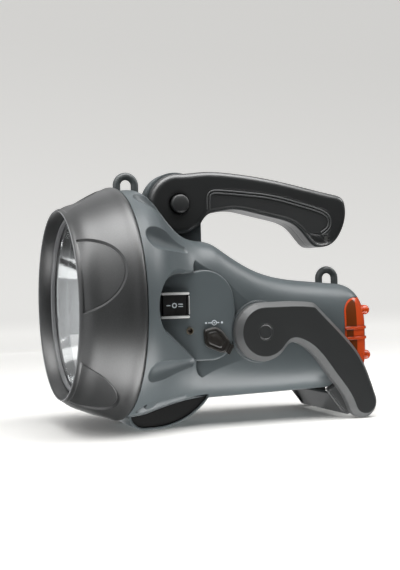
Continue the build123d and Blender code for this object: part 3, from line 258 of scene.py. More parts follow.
# ABS from a satin mould: a pale line round the glass, and a pale bead along the rim that is a painted
# highlight
RING_ABS = moulded(
    "ring_abs_satin", "#6f7071", "#7c7d7e",
    mottle_mm=30.0, grain_mm=0.7, grain_height_mm=0.02, rough=0.3, edge_mm=0.3,
)

# Ink from a printing pad: flat bluish white with slightly uneven cover
PRINT_WHITE = moulded(
    "ink_pad_printed", "#b9c1c6", "#ccd3d7",
    mottle_mm=4.0, grain_mm=0.3, grain_height_mm=0.005, rough=0.45, edge_mm=0.1,
)

# Chromed ABS with a near-white diffuse share at metallic 0.6: the bright lines are partly chrome reflection
# and partly painted highlight, with a faint streak along the rails
RAIL_CHROME_AND_HIGHLIGHT = worked(
    "rail_chrome_and_painted_highlight", "#ececea", "#f8f8f6",
    mark_mm=12.0, rough=(0.3, 0.38), run=(0.2, 1.0, 1.0), Metallic=0.6,
)

# Brass turned on a lathe and nickelled: a warm grey ring with a soft light
NICKEL = worked(
    "ring_brass_nickelled", "#b5a996", "#cfc4b3",
    mark_mm=1.0, rough=(0.28, 0.42), run=(1.0, 0.3, 1.0), Metallic=1.0,
)

# Float glass, polished: clear, and seen only by its sharp small lights and a trace of wiping
GLASS = worked(
    "lens_glass_polished", "#fbfdfc", "#ffffff",
    mark_mm=40.0, rough=(0.01, 0.03), run=(1.0, 1.0, 0.4), IOR=1.5, Transmission_Weight=1.0,
)

# Aluminium laid on lacquer in a vacuum: mirror bright, clouded a little where the lacquer pooled
MIRROR = worked(
    "reflector_aluminised", "#e6e7e8", "#eeefef",
    mark_mm=25.0, rough=(0.05, 0.1), run=(1.0, 1.0, 1.0), Metallic=1.0,
)

# Steel, zinc plated: silver grey with a cloudy crystal bloom
STEEL = worked(
    "steel_zinc_plated", "#aeaeab", "#c4c4c2",
    mark_mm=2.0, rough=(0.24, 0.38), run=(1.0, 1.0, 1.0), Metallic=1.0,
)

# Brass sheet, rolled and stamped: yellow, streaked along the way it was rolled
BRASS = worked(
    "brass_stamped", "#bd9750", "#d3b069",
    mark_mm=2.5, rough=(0.22, 0.38), run=(0.15, 1.0, 1.0), Metallic=1.0,
)

# Smoked epoxy, cast: a dark bead with one sharp light
SMOKED_LAMP = worked(
    "lamp_epoxy_smoked", "#241e19", "#302821",
    mark_mm=2.0, rough=(0.08, 0.14), run=(1.0, 1.0, 1.0), IOR=1.54, Coat_Weight=0.5,
)

# Glass cloth board under green lacquer: the weave, 0.5 mm in the real one, shows as a mottle of 1.2 mm
BOARD = worked(
    "circuit_board_lacquered", "#1a4327", "#235533",
    mark_mm=1.2, rough=(0.24, 0.36), run=(1.0, 1.0, 1.0), IOR=1.5,
)

# Clear epoxy, cast: milky clear over the chip
LAMP = worked(
    "lamp_epoxy_clear", "#e2e0d4", "#efeee6",
    mark_mm=2.0, rough=(0.07, 0.13), run=(1.0, 1.0, 1.0), IOR=1.54, Transmission_Weight=0.6,
)

# The tail light seen from the side, in the beam frame. Behind its outer wall and its rounded front corner,
# as far back as the thick rear wall, it is painted brown as shade where its dark inside would show. Two ribs
# and the solid band between them cross it. Each pair of values is where a soft edge starts and ends
TAIL_CORNER = (245.0, 0.0, -15.0)
TAIL_CORNER_RADIUS = 15.0
TAIL_WALL = (TAIL_CORNER_RADIUS - 1.9, TAIL_CORNER_RADIUS - 2.4)
TAIL_REAR = (245.1, 244.5)
TAIL_RIBS = (-31.5, -42.0)
TAIL_RIB_SIDE = (1.2, 1.7)
TAIL_BAND_FADE = 0.5
TAIL_BAND_FRONT = (240.1, 240.9)
TAIL_EDGE = 0.9


def overlap(tree, fields):
    """The share where soft-edged fields overlap, each 0 at its first limit and 1 at its second."""
    share = 1.0
    for value, start, end in fields:
        span = {"Value": value, "From Min": start, "From Max": end}
        field = add(tree, "ShaderNodeMapRange", span, interpolation_type="SMOOTHSTEP").outputs["Result"]
        share = add(tree, "ShaderNodeMath", {0: share, 1: field}, operation="MULTIPLY").outputs[0]
    return share


def tinted_tail():
    """Polycarbonate, tinted and moulded: bright orange in its thick walls, painted brown as shade where its
    dark inside would show.
    """
    material, tree, shader = new_material(
        "tail_polycarbonate_tinted", Roughness=0.14, IOR=1.58, Transmission_Weight=0.12
    )
    place = add(tree, "ShaderNodeTexCoord").outputs["Object"]
    beam = {"Vector": place, "Location": (SEAM_X, 0.0, AXIS_HEIGHT), "Scale": (MM, MM, MM)}
    place = add(tree, "ShaderNodeMapping", beam, vector_type="TEXTURE").outputs["Vector"]
    axes = add(tree, "ShaderNodeSeparateXYZ", {"Vector": place})
    along, level = axes.outputs["X"], axes.outputs["Z"]

    offset = add(tree, "ShaderNodeVectorMath", {0: place, 1: TAIL_CORNER}, operation="SUBTRACT").outputs[0]
    outward = {0: offset, 1: (-1.0, 0.0, 1.0)}
    offset = add(tree, "ShaderNodeVectorMath", outward, operation="MULTIPLY").outputs[0]
    offset = add(tree, "ShaderNodeVectorMath", {0: offset, 1: (0, 0, 0)}, operation="MAXIMUM").outputs[0]
    from_corner = add(tree, "ShaderNodeVectorMath", {0: offset}, operation="LENGTH").outputs["Value"]
    clear = [(from_corner, *TAIL_WALL), (along, *TAIL_REAR)]
    for rib in TAIL_RIBS:
        above = add(tree, "ShaderNodeMath", {0: level, 1: rib}, operation="SUBTRACT").outputs[0]
        away = add(tree, "ShaderNodeMath", {0: above}, operation="ABSOLUTE").outputs[0]
        clear.append((away, *TAIL_RIB_SIDE))
    upper, lower = TAIL_RIBS
    solid = (
        (level, lower, lower + TAIL_BAND_FADE),
        (level, upper, upper - TAIL_BAND_FADE),
        (along, *TAIL_BAND_FRONT),
    )
    hollow = add(tree, "ShaderNodeMath", {0: 1.0, 1: overlap(tree, solid)}, operation="SUBTRACT").outputs[0]
    both = {0: overlap(tree, clear), 1: hollow}
    painted_inside_shade = add(tree, "ShaderNodeMath", both, operation="MULTIPLY").outputs[0]
    # Painted shade: brown where the dark inside would be seen through the lens, orange elsewhere
    colours = {0: painted_inside_shade, 6: linear("#c4481e"), 7: linear("#66300f")}
    tint = add(tree, "ShaderNodeMix", colours, data_type="RGBA")
    soft = add(tree, "ShaderNodeBevel", {"Radius": TAIL_EDGE * MM}, samples=4)
    tree.links.new(tint.outputs[2], shader.inputs["Base Color"])
    tree.links.new(soft.outputs["Normal"], shader.inputs["Normal"])
    return material


AMBER = tinted_tail()

FINISH = {
    "housing_left": GREY_ABS,
    "housing_right": GREY_ABS,
    "bezel_ring": SOFT_TOUCH,
    "lens_ring": LOOP_NYLON,
    "lens_glass": GLASS,
    "lens_gasket": FOOT_RUBBER,
    "reflector": MIRROR,
    "halogen_bulb": GLASS,
    "bulb_base": STEEL,
    "bulb_clip": STEEL,
    "switch_frame": BLACK_ABS,
    "switch_rocker": BLACK_ABS,
    "switch_terminals": BRASS,
    "charge_board": BOARD,
    "led_indicator": SMOKED_LAMP,
    "led_ring": NICKEL,
    "dc_jack": BLACK_ABS,
    "socket_cap": CAP_RUBBER,
    "cap_strap_root": CAP_RUBBER,
    "handle_shaft": BLACK_NYLON,
    "handle_shell_left": HANDLE_NYLON,
    "handle_shell_right": HANDLE_NYLON,
    "grip_pad_left": GRIP_RUBBER,
    "grip_pad_right": GRIP_RUBBER,
    "grip_screw": STEEL,
    "handle_button": BLACK_NYLON,
    "handle_spring": STEEL,
    "strap_loop_front": LOOP_NYLON,
    "strap_loop_rear": LOOP_NYLON,
    "stand_arm_left": STAND_NYLON,
    "stand_arm_right": STAND_NYLON,
    "stand_crossbar": BAR_NYLON,
    "stand_bolts": STEEL,
    "stand_caps": BLACK_NYLON,
    "foot_pad_left": FOOT_RUBBER,
    "foot_pad_right": FOOT_RUBBER,
    "tail_lens": AMBER,
    "tail_board": BOARD,
    "tail_leds": LAMP,
    "battery": BLACK_ABS,
    "battery_tabs": BRASS,
    "battery_foam": FOOT_RUBBER,
    "housing_screws": STEEL,
}
for name, material in FINISH.items():
    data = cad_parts[name].data
    data.materials.clear()
    data.materials.append(material)


# Shape helpers
CORNER_PULL = 0.6


def placed(name, data):
    """A mesh, curve, light or camera put in the scene as an object."""
    thing = bpy.data.objects.new(name, data)
    bpy.context.scene.collection.objects.link(thing)
    return thing


def mesh_of(name, shape):
    """The mesh of a shape, which is used up."""
    data = bpy.data.meshes.new(name)
    shape.to_mesh(data)
    shape.free()
    return data


def finished(name, shape, material, body, sharp_degrees=32):
    """A finished piece from a shape in the beam frame. Its faces look outwards and it moves with a body."""
    bmesh.ops.recalc_face_normals(shape, faces=shape.faces)
    data = mesh_of(name, shape)
    data.transform(BEAM_FRAME)
    data.shade_smooth()
    data.set_sharp_from_angle(angle=math.radians(sharp_degrees))
    data.materials.append(material)
    piece = placed(name, data)
    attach(piece, body)
    return piece


def beam_middle(low, high):
    """The middle of a box as (x, z) in the beam frame."""
    return ((low.x + high.x) / 2 - SEAM_X) / MM, ((low.z + high.z) / 2 - AXIS_HEIGHT) / MM


def smooth_curve(points):
    """A smooth function through (place, height) points that are sorted by place."""
    steps = [(after[1] - before[1]) / (after[0] - before[0]) for before, after in zip(points, points[1:])]
    slopes = [steps[0], *((low + high) / 2 for low, high in zip(steps, steps[1:])), steps[-1]]

    def height(place):
        index = max(i for i in range(len(points) - 1) if points[i][0] <= place or i == 0)
        (start, low), (end, high) = points[index], points[index + 1]
        width = end - start
        share = (place - start) / width
        rest = 1 - share
        from_start = low * rest * rest * (1 + 2 * share) + slopes[index] * width * share * rest * rest
        from_end = high * share * share * (1 + 2 * rest) - slopes[index + 1] * width * rest * share * share
        return from_start + from_end

    return height


def ease(share):
    """0 to 1 with a soft start and a soft end."""
    share = min(max(share, 0.0), 1.0)
    return share * share * (3 - 2 * share)


def circle(radius, count=48, centre=(0.0, 0.0)):
    """Places round a circle."""
    turns = [math.tau * step / count for step in range(count)]
    return [(centre[0] + radius * math.cos(turn), centre[1] + radius * math.sin(turn)) for turn in turns]


def oblong(length, height, round_end, count=6):
    """Places round a rectangle with rounded corners."""
    places = []
    for quarter in range(4):
        centre_x = (length / 2 - round_end) * (1 if quarter in (0, 3) else -1)
        centre_z = (height / 2 - round_end) * (1 if quarter in (0, 1) else -1)
        for step in range(count + 1):
            turn = math.radians(90) * (quarter + step / count)
            places.append((centre_x + round_end * math.cos(turn), centre_z + round_end * math.sin(turn)))
    return places


def rounded(corners, share, count):
    """Places round a polygon whose corners are cut back by a share of each side and curved over."""
    places = []
    for index, corner in enumerate(corners):
        here = Vector(corner)
        before, after = Vector(corners[index - 1]), Vector(corners[(index + 1) % len(corners)])
        start, end = here.lerp(before, share), here.lerp(after, share)
        pulls = start.lerp(here, CORNER_PULL), end.lerp(here, CORNER_PULL)
        places += [tuple(point) for point in interpolate_bezier(start, *pulls, end, count)]
    return places


def skin_between(shape, loops):
    """Adds the faces between each loop of corners and the next."""
    for near, far in zip(loops, loops[1:]):
        for index in range(len(near)):
            after = (index + 1) % len(near)
            shape.faces.new((near[index], near[after], far[after], far[index]))


def raised(shape, outline, rings, place, side=-1):
    """Adds a low crowned form on a side: the outline drawn in to each ring's share, at each ring's height."""
    x, y, z = place
    loops = [
        [shape.verts.new((x + across * share, y + side * height, z + up * share)) for across, up in outline]
        for share, height in rings
    ]
    skin_between(shape, loops)
    shape.faces.new(loops[0])
    shape.faces.new(loops[-1])


def printed_circle(shape, outer, inner, low, high, place):
    """Adds a printed circle on the switch side, from a little under the face to a little over it."""
    x, y, z = place
    loops = [
        [shape.verts.new((x + across, y - height, z + up)) for across, up in circle(radius)]
        for radius, height in ((outer, low), (outer, high), (inner, high), (inner, low))
    ]
    skin_between(shape, loops + loops[:1])


def lathed(profile, steps=180):
    """A ring turned round the beam from a profile of (x, radius) places, which closes on itself."""
    shape = bmesh.new()
    turns = [math.tau * step / steps for step in range(steps)]
    rings = [
        [shape.verts.new((x, radius * math.sin(turn), radius * math.cos(turn))) for turn in turns]
        for x, radius in profile
    ]
    skin_between(shape, rings + rings[:1])
    return shape


# Front ring: its skin has a sunk petal in each fifth, with a rounded groove just inside the edge. A petal's
# wall is given as (inset from its edge, depth), and it goes flat where it meets the rim
PETAL_COUNT = 5
PETAL_LENGTH = 41.5
PETAL_HALF_WIDTH = 35.5
PETAL_HOLLOW = 2.4
PETAL_RISE = (3.0, 18.0)
PETAL_FADE = 1.8
PETAL_WALL = {-0.5: 0.0, 0.0: 0.0, 0.7: 1.7, 1.5: 2.1, 2.1: 1.6, 2.7: 1.6}
PETAL_FLOOR = 1.6
PETAL_STEPS = 96
SKIN_STEP = 1.6
SKIN_TURN = 0.9
SAME_PLACE = 1e-5
WELD = 0.002
BEZEL_OUTLINE = (
    (-55.1, 93.96),
    (-48.1, 98.9),
    (-37.7, 103.4),
    (-22.6, 109.4),
    (-12.8, 112.5),
    (-5.8, 115.0),
    (-1.7, 114.1),
    (-BEZEL_GAP, 113.0),
)
RIM_CURVE = ((-55.1, 93.96), (-57.3, 93.0), (-58.8, 91.6), (-56.8, 90.5))
RIM_STEPS = 8
LENS_SEAT = -45.0
BEZEL_INSIDE = (
    (LENS_SEAT - 1.2, 86.8),
    (LENS_SEAT, 86.8),
    (LENS_SEAT, 88.0),
    (LENS_SEAT + 9.0, 88.0),
    (LENS_SEAT + 12.6, 101.0),
    (-14.8, 105.15),
    (-BEZEL_GAP, 105.15),
)


def petal_depth(inset, along, across):
    """How far a petal lies under the skin, at an inset from its edge."""
    level = (along / PETAL_LENGTH) ** 2 + (across / PETAL_HALF_WIDTH) ** 2
    wall = PETAL_WALL.get(inset, PETAL_FLOOR if inset > 0 else 0.0)
    rise_start, rise_length = PETAL_RISE
    hollow = PETAL_HOLLOW * max(0.0, 1 - level) * ease((along - rise_start) / rise_length)
    rim = BEZEL_DEPTH + BEZEL_OUTLINE[0][0]
    return (wall + hollow) * ease((along - rim) / PETAL_FADE)


def bezel_fifth():
    """Places of one fifth of the skin as (x, angle, depth), the triangles on them, and its edge angles."""
    skin = smooth_curve(BEZEL_OUTLINE)
    front, rear = BEZEL_OUTLINE[0][0], BEZEL_OUTLINE[-1][0]
    half = math.pi / PETAL_COUNT
    places, chains = [], []
    for inset in PETAL_WALL:
        length, half_width = PETAL_LENGTH - inset, PETAL_HALF_WIDTH - inset
        reach = math.acos((BEZEL_DEPTH + front) / length)
        first = len(places)
        for step in range(PETAL_STEPS + 1):
            swing = reach * (2 * step / PETAL_STEPS - 1)
            along, across = length * math.cos(swing), half_width * math.sin(swing)
            x = front if step in (0, PETAL_STEPS) else along - BEZEL_DEPTH
            places.append((x, math.asin(across / skin(x)), petal_depth(inset, along, across)))
        chains += [(index, index + 1) for index in range(first, len(places) - 1)]

    columns = round((rear - front) / SKIN_STEP)
    rows = round(math.degrees(2 * half) / SKIN_TURN)
    clear = max(PETAL_WALL) + SKIN_STEP / 3
    edge_angles = [angle for x, angle, _ in places if x == front]
    for column in range(columns + 1):
        x = front + (rear - front) * column / columns
        for row in range(rows + 1):
            angle = half * (2 * row / rows - 1)
            along, across = x + BEZEL_DEPTH, skin(x) * math.sin(angle)
            level = math.hypot(along / PETAL_LENGTH, across / PETAL_HALF_WIDTH)
            slope = math.hypot(along / PETAL_LENGTH**2, across / PETAL_HALF_WIDTH**2) / level
            inset = (1 - level) / slope
            if -SKIN_STEP < inset < clear or column == columns:
                continue
            places.append((x, angle, petal_depth(inset, along, across)))
            if column == 0:
                edge_angles.append(angle)
    places += [(rear, angle, 0.0) for angle in edge_angles]

    flat = [Vector((x, angle * skin(front))) for x, angle, _ in places]
    _, _, triangles, origins, _, _ = delaunay_2d_cdt(flat, chains, [], 0, SAME_PLACE)
    triangles = [[origins[corner][0] for corner in triangle] for triangle in triangles]
    return places, triangles, sorted(edge_angles)


def bezel_with_petals():
    """The front ring: five alike fifths of skin, a rounded rim, the lens seat and the bore."""
    skin = smooth_curve(BEZEL_OUTLINE)
    places, triangles, edge_angles = bezel_fifth()
    shape = bmesh.new()

    def vertex(x, radius, angle):
        return shape.verts.new((x, radius * math.sin(angle), radius * math.cos(angle)))

    rim = interpolate_bezier(*(Vector(point) for point in RIM_CURVE), RIM_STEPS)
    profile = [(point.x, point.y) for point in rim] + list(BEZEL_INSIDE) + [BEZEL_OUTLINE[-1]]
    turns = []
    for fifth in range(PETAL_COUNT):
        turn = math.tau * fifth / PETAL_COUNT
        corners = [vertex(x, skin(x) - depth, turn + angle) for x, angle, depth in places]
        for triangle in triangles:
            shape.faces.new([corners[corner] for corner in triangle])
        turns += [turn + angle for angle in edge_angles[:-1]]
    skin_between(shape, [[vertex(x, radius, turn) for turn in turns] for x, radius in profile])
    bmesh.ops.remove_doubles(shape, verts=shape.verts, dist=WELD)
    return finished("bezel_with_petals", shape, SOFT_TOUCH, "root")


# Ring in front of the glass, and a pale bead on the rim as its painted highlight
LENS_RING = (
    (LENS_SEAT + 2.4, 88.0),
    (LENS_SEAT, 88.0),
    (LENS_SEAT, 86.9),
    (LENS_SEAT + 0.7, 86.7),
    (LENS_SEAT + 0.7, 86.2),
    (LENS_SEAT - 0.9, 85.8),
    (LENS_SEAT - 1.3, 85.2),
    (LENS_SEAT - 1.3, 84.2),
    (LENS_SEAT - 0.6, 83.4),
    (LENS_SEAT + 0.6, 83.1),
    (LENS_SEAT + 2.4, 83.0),
)
RIM_BEAD_CENTRE = (-57.75, 91.7)
RIM_BEAD_RADIUS = 0.55


def stepped_ring():
    """The ring in front of the glass: a flat, a groove and a rounded inner lip."""
    return finished("stepped_ring", lathed(LENS_RING), RING_ABS, "root")


def rim_highlight_bead():
    """A thin pale bead on the front ring's rim, painted as the highlight along its edge."""
    # Painted highlight: a pale ring laid on the rim where a light line shows
    profile = circle(RIM_BEAD_RADIUS, count=10, centre=RIM_BEAD_CENTRE)
    return finished("rim_highlight_bead", lathed(profile), RING_ABS, "root", sharp_degrees=60)


# Switch: a place on the side is (x, z). The middle of the rocker's dished face is level with its frame's
# face, and both ends rise from there
PANEL_FACE = -54.0
SWITCH_X, SWITCH_Z = 43.2, -2.2
SWITCH_FACE = PANEL_FACE - 2.2
ROCKER_DISH = 1.4
ROCKER_HALF_LENGTH = 11.6
RAIL_LEVEL = 11.3
RAIL_SHIFT = 0.6
RAIL_RIDGE = ((1.0, -0.6), (1.0, 0.3), (0.985, 1.1), (0.95, 1.7), (0.9, 1.95))
END_RIDGE = ((1.0, -0.3), (1.0, 0.3), (0.9, 0.5))
END_RIDGE_SHIFT = 15.0
ROCKER_INK = ((1.0, -0.25), (1.0, 0.12), (0.96, 0.16))
ROCKER_BARS = ((-6.2, 0.0, 4.2), (6.0, 1.1, 4.4), (6.0, -1.1, 4.4))


def switch_rails():
    """Two bright half-round ridges beside the rocker, and a thin upright one at its rear end."""
    shape = bmesh.new()
    for level in (RAIL_LEVEL, -RAIL_LEVEL):
        place = (SWITCH_X + RAIL_SHIFT, SWITCH_FACE, SWITCH_Z + level)
        raised(shape, oblong(length=29.5, height=2.4, round_end=1.15), RAIL_RIDGE, place)
    place = (SWITCH_X + END_RIDGE_SHIFT, SWITCH_FACE, SWITCH_Z)
    raised(shape, oblong(length=1.0, height=18.0, round_end=0.4), END_RIDGE, place)
    return finished("switch_rails", shape, RAIL_CHROME_AND_HIGHLIGHT, "root")


def rocker_marks():
    """The printed marks of the rocker's three places: one bar, a circle and two bars."""
    shape = bmesh.new()
    for across, up, length in ROCKER_BARS:
        bar = oblong(length, height=0.9, round_end=0.3)
        raised(shape, bar, ROCKER_INK, (SWITCH_X + across, SWITCH_FACE, SWITCH_Z + up))
    middle = (SWITCH_X, SWITCH_FACE, SWITCH_Z)
    printed_circle(shape, outer=2.5, inner=1.5, low=-0.25, high=0.14, place=middle)
    for corner in shape.verts:
        corner.co.y -= ROCKER_DISH * abs(corner.co.x - SWITCH_X) / ROCKER_HALF_LENGTH
    return finished("rocker_marks", shape, PRINT_WHITE, "rocker")


# Centre-pin sign over the socket: dots as (shift, radius) and lines as (shift, length)
SIGN_X, SIGN_Z = 84.4, -20.2
SIGN_INK = ((1.0, -0.05), (1.0, 0.1), (0.96, 0.13))
SIGN_DOTS = ((-8.5, 1.0), (0.0, 0.75), (8.0, 1.1))
SIGN_LINES = ((-4.4, 4.0), (4.0, 2.4))


def polarity_marks():
    """The usual centre-pin sign over the socket: a ring round a dot, a line and an end dot each side."""
    shape = bmesh.new()
    for across, radius in SIGN_DOTS:
        raised(shape, circle(radius, count=24), SIGN_INK, (SIGN_X + across, PANEL_FACE, SIGN_Z))
    for across, length in SIGN_LINES:
        line = oblong(length, height=1.1, round_end=0.3)
        raised(shape, line, SIGN_INK, (SIGN_X + across, PANEL_FACE, SIGN_Z))
    middle = (SIGN_X, PANEL_FACE, SIGN_Z)
    printed_circle(shape, outer=2.7, inner=1.8, low=-0.05, high=0.12, place=middle)
    return finished("polarity_marks", shape, PRINT_WHITE, "root")


# Socket cap: its strap leaves the lid at an angle, and is given as (start, end, width, height) of each part
CAP_X, CAP_Z = 84.6, -36.0
CAP_CORNERS = ((-12.4, 9.4), (0.3, 12.2), (7.4, 8.2), (15.8, -3.2), (9.6, -15.0), (-10.6, -6.6))
CAP_RINGS = (
    (0.98, 0.1),
    (1.0, 0.6),
    (1.0, 1.9),
    (0.985, 2.5),
    (0.95, 2.9),
    (0.91, 2.6),
    (0.87, 1.6),
    (0.82, 1.3),
    (0.66, 1.2),
    (0.6, 1.9),
    (0.52, 2.3),
    (0.4, 2.2),
    (0.3, 1.6),
    (0.1, 1.4),
)
SOCKET_X, SOCKET_Z = 85.8, -38.1
PLUG_RADIUS = 5.2
PLUG_RINGS = ((1.0, -3.0), (1.0, 0.2))
CAP_TURN = math.radians(-31.0)
CAP_STRAP = ((8.0, 14.2, 9.6, 1.6), (13.1, 15.3, 9.8, 2.2))


def cap_with_rim():
    """The socket's rubber cap: a rounded six-sided lid with a raised rim and a sunk middle, and its plug."""
    shape = bmesh.new()
    lid = rounded(CAP_CORNERS, share=0.24, count=7)
    raised(shape, lid, CAP_RINGS, (CAP_X, PANEL_FACE, CAP_Z))
    raised(shape, circle(PLUG_RADIUS), PLUG_RINGS, (SOCKET_X, PANEL_FACE, SOCKET_Z))
    cosine, sine = math.cos(CAP_TURN), math.sin(CAP_TURN)
    for start, end, width, top in CAP_STRAP:
        straight = oblong(end - start, width, round_end=0.9)
        outline = [(a * cosine - b * sine, a * sine + b * cosine) for a, b in straight]
        centre = (start + end) / 2
        middle = (SOCKET_X + centre * cosine, PANEL_FACE, SOCKET_Z + centre * sine)
        rings = ((1.0, 0.15), (1.0, top - 0.5), (0.93, top - 0.1), (0.8, top))
        raised(shape, outline, rings, middle)
    return finished("cap_with_rim", shape, CAP_RUBBER, "cap")


# Button of the handle's hub
BUTTON_TRAVEL = 4.2
BUTTON_RADIUS = 9.2
STEM_RADIUS = 6.0
STEM_END_RADIUS = 5.1
STEM_OVERLAP = 0.1
BUTTON_UNDERSIDE = -4.9
BUTTON_HEAD = (
    (1.0, BUTTON_UNDERSIDE),
    (1.0, -1.3),
    (0.985, -0.7),
    (0.945, -0.2),
    (0.88, 0.15),
    (0.7, 0.7),
    (0.5, 1.05),
    (0.25, 1.3),
    (0.03, 1.35),
)


def domed_button():
    """The hub's press button: a crowned head on a stem whose end slips inside the spring."""
    low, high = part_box("handle_button")
    centre_x, centre_z = beam_middle(low, high)
    face = (centre_x, low.y / MM, centre_z)
    stem_end = (low.y - high.y) / MM
    step = stem_end + BUTTON_TRAVEL
    shape = bmesh.new()
    raised(shape, circle(BUTTON_RADIUS), BUTTON_HEAD, face)
    raised(shape, circle(STEM_RADIUS), ((1.0, step), (1.0, BUTTON_UNDERSIDE + STEM_OVERLAP)), face)
    raised(shape, circle(STEM_END_RADIUS), ((1.0, stem_end), (1.0, step + STEM_OVERLAP)), face)
    return finished("domed_button", shape, BLACK_NYLON, "button", sharp_degrees=50)


# Stand: the discs over its bolts, and the webs at the ends of its crossbar
STAND_CAP_RADIUS = 8.1
STAND_CAP_HEIGHT = 1.8
STAND_CAP_DISH = (
    (1.0, -STAND_CAP_HEIGHT),
    (1.0, -0.7),
    (0.98, -0.25),
    (0.93, 0.0),
    (0.88, -0.1),
    (0.83, -0.6),
    (0.78, -0.8),
    (0.5, -0.55),
    (0.25, -0.42),
    (0.03, -0.38),
)
WEB_CORNERS = ((208.0, -93.0), (228.6, -119.6), (241.0, -113.0), (228.0, -85.5), (221.0, -86.5))
WEB_RINGS = ((0.99, 0.0), (1.0, 0.5), (1.0, 5.4))
WEB_INSIDE = 47.0


def dished_caps():
    """The discs over the stand's bolts: a rounded rim round a shallow dish, on each side."""
    low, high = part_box("stand_caps")
    centre_x, centre_z = beam_middle(low, high)
    shape = bmesh.new()
    for side, outer in ((-1, low.y), (1, high.y)):
        raised(shape, circle(STAND_CAP_RADIUS), STAND_CAP_DISH, (centre_x, outer / MM, centre_z), side)
    return finished("dished_caps", shape, CAP_NYLON, "stand", sharp_degrees=50)


def stand_webs():
    """The webs that tie the crossbar's ends to the inner faces of the stand's arms."""
    shape = bmesh.new()
    web = rounded(WEB_CORNERS, share=0.15, count=4)
    for side in (-1, 1):
        raised(shape, web, WEB_RINGS, (0.0, side * WEB_INSIDE, 0.0), side)
    return finished("stand_webs", shape, BAR_NYLON, "stand")


# Beads round the grip pads, as shares of the grip's length from the handle's hub
GRIP_LENGTH = 188.0
HUB_X, HUB_Z = 63.5, 98.0
BEAD_RADIUS = 0.8
BEAD_PITCH = 2.9
BEAD_SIDE = 19.4
BEAD_COURSE = (
    (0.158, -0.03),
    (0.158, 0.01),
    (0.160, 0.048),
    (0.178, 0.070),
    (0.2154, 0.0755),
    (0.38, 0.064),
    (0.54, 0.0495),
    (0.70, 0.010),
    (0.8324, -0.025),
    (0.885, -0.055),
    (0.9005, -0.0957),
    (0.885, -0.145),
    (0.8378, -0.170),
)


def bead_courses():
    """The outer bead's course as (x, z) places, and the inner one's that runs alongside."""
    outer = [Vector((HUB_X + GRIP_LENGTH * along, HUB_Z + GRIP_LENGTH * up)) for along, up in BEAD_COURSE]
    inner = []
    for index, point in enumerate(outer):
        along = outer[min(index + 1, len(outer) - 1)] - outer[max(index - 1, 0)]
        inner.append(point + Vector((along.y, -along.x)).normalized() * BEAD_PITCH)
    return outer, inner


def grip_beads():
    """Two thin rounded beads side by side round the grip pad, on each side of the handle."""
    for side, name in ((-1, "grip_bead_left"), (1, "grip_bead_right")):
        data = bpy.data.curves.new(name, "CURVE")
        data.dimensions = "3D"
        data.bevel_depth = BEAD_RADIUS
        data.bevel_resolution = 3
        for course in bead_courses():
            line = data.splines.new("NURBS")
            line.points.add(len(course) - 1)
            for point, (x, z) in zip(line.points, course):
                point.co = (x, side * BEAD_SIDE, z, 1.0)
            line.order_u = 3
            line.use_endpoint_u = True
        curve = placed(name, data)
        mesh = bpy.data.meshes.new_from_object(curve)
        bpy.data.objects.remove(curve)
        shape = bmesh.new()
        shape.from_mesh(mesh)
        finished(name, shape, BEAD_NYLON, "handle", sharp_degrees=60)


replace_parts(bezel_with_petals(), "bezel_ring")
switch_rails()
stand_webs()
grip_beads()
rocker_marks()
polarity_marks()
rim_highlight_bead()
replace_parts(cap_with_rim(), "socket_cap")
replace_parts(domed_button(), "handle_button")
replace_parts(stepped_ring(), "lens_ring")
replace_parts(dished_caps(), "stand_caps")


# Floor, backdrop, lights and camera. The room is bright overhead and ahead of the lamp, as seen in its
# glossy faces, and the camera sees it as an even pale tone
PAPER = linear("#e6e5e2")
PAPER_LIFT = 0.6
PAPER_LIFT_REACH = (0.5, 2.2)
SWEEP_HALF_WIDTH = 6.0
SWEEP_FRONT = -6.0
SWEEP_BACK = 5.0
SWEEP_HEIGHT = 4.0
SWEEP_BEND = 1.6
SWEEP_BEND_STEPS = 12
CARD_HALF_WIDTH = 1.0
CARD_PLACE = 0.02
CARD_LOW, CARD_HIGH = -0.38, -0.004
ROOM_DIM = 0.045
ROOM_BRIGHT = 0.4
ROOM_CLIMB = (0.1, 0.9)
ROOM_AHEAD = 1.2
ROOM_TURN = (-0.55, -0.95)
ROOM_SEEN = 0.75
LIGHTS = (
    # name, place, what it faces, size, watts
    ("softbox_high", (0.05, -0.3, 1.3), (0.05, 0, 0.1), (1.7, 0.9), 31),
    ("softbox_front", (-1.3, -0.7, 1.45), (0, 0, 0.12), (0.6, 0.5), 5),
    ("softbox_tail", (1.3, -0.2, 1.0), (0, 0, 0.1), (0.6, 0.6), 6),
    ("light_table", (0.12, -0.27, -0.4), (0.1, -0.03, 0.1), (1.15, 0.4), 7.8),
    ("softbox_back", (0.0, 1.1, 1.0), (0, 0, 0.12), (1.4, 0.6), 1.2),
    ("floor_bounce_back", (0.0, 1.1, -0.25), (0, 0, 0.12), (1.4, 0.6), 1.6),
    ("card_above_lens", (-0.894, -0.05, 0.989), (-0.13, 0.06, 0.07), (0.8, 0.2), 0.7),
    ("card_below_lens", (-0.738, -0.047, -0.349), (-0.13, 0.06, 0.16), (0.45, 0.24), 0.5),
)
CAMERA_PLACE = (-0.3709, -0.9675, 0.1420)
CAMERA_RIGHT = (0.9379, -0.3461, -0.0240)
CAMERA_UP = (0.0235, -0.0057, 0.9997)
CAMERA_LENS = 63.6


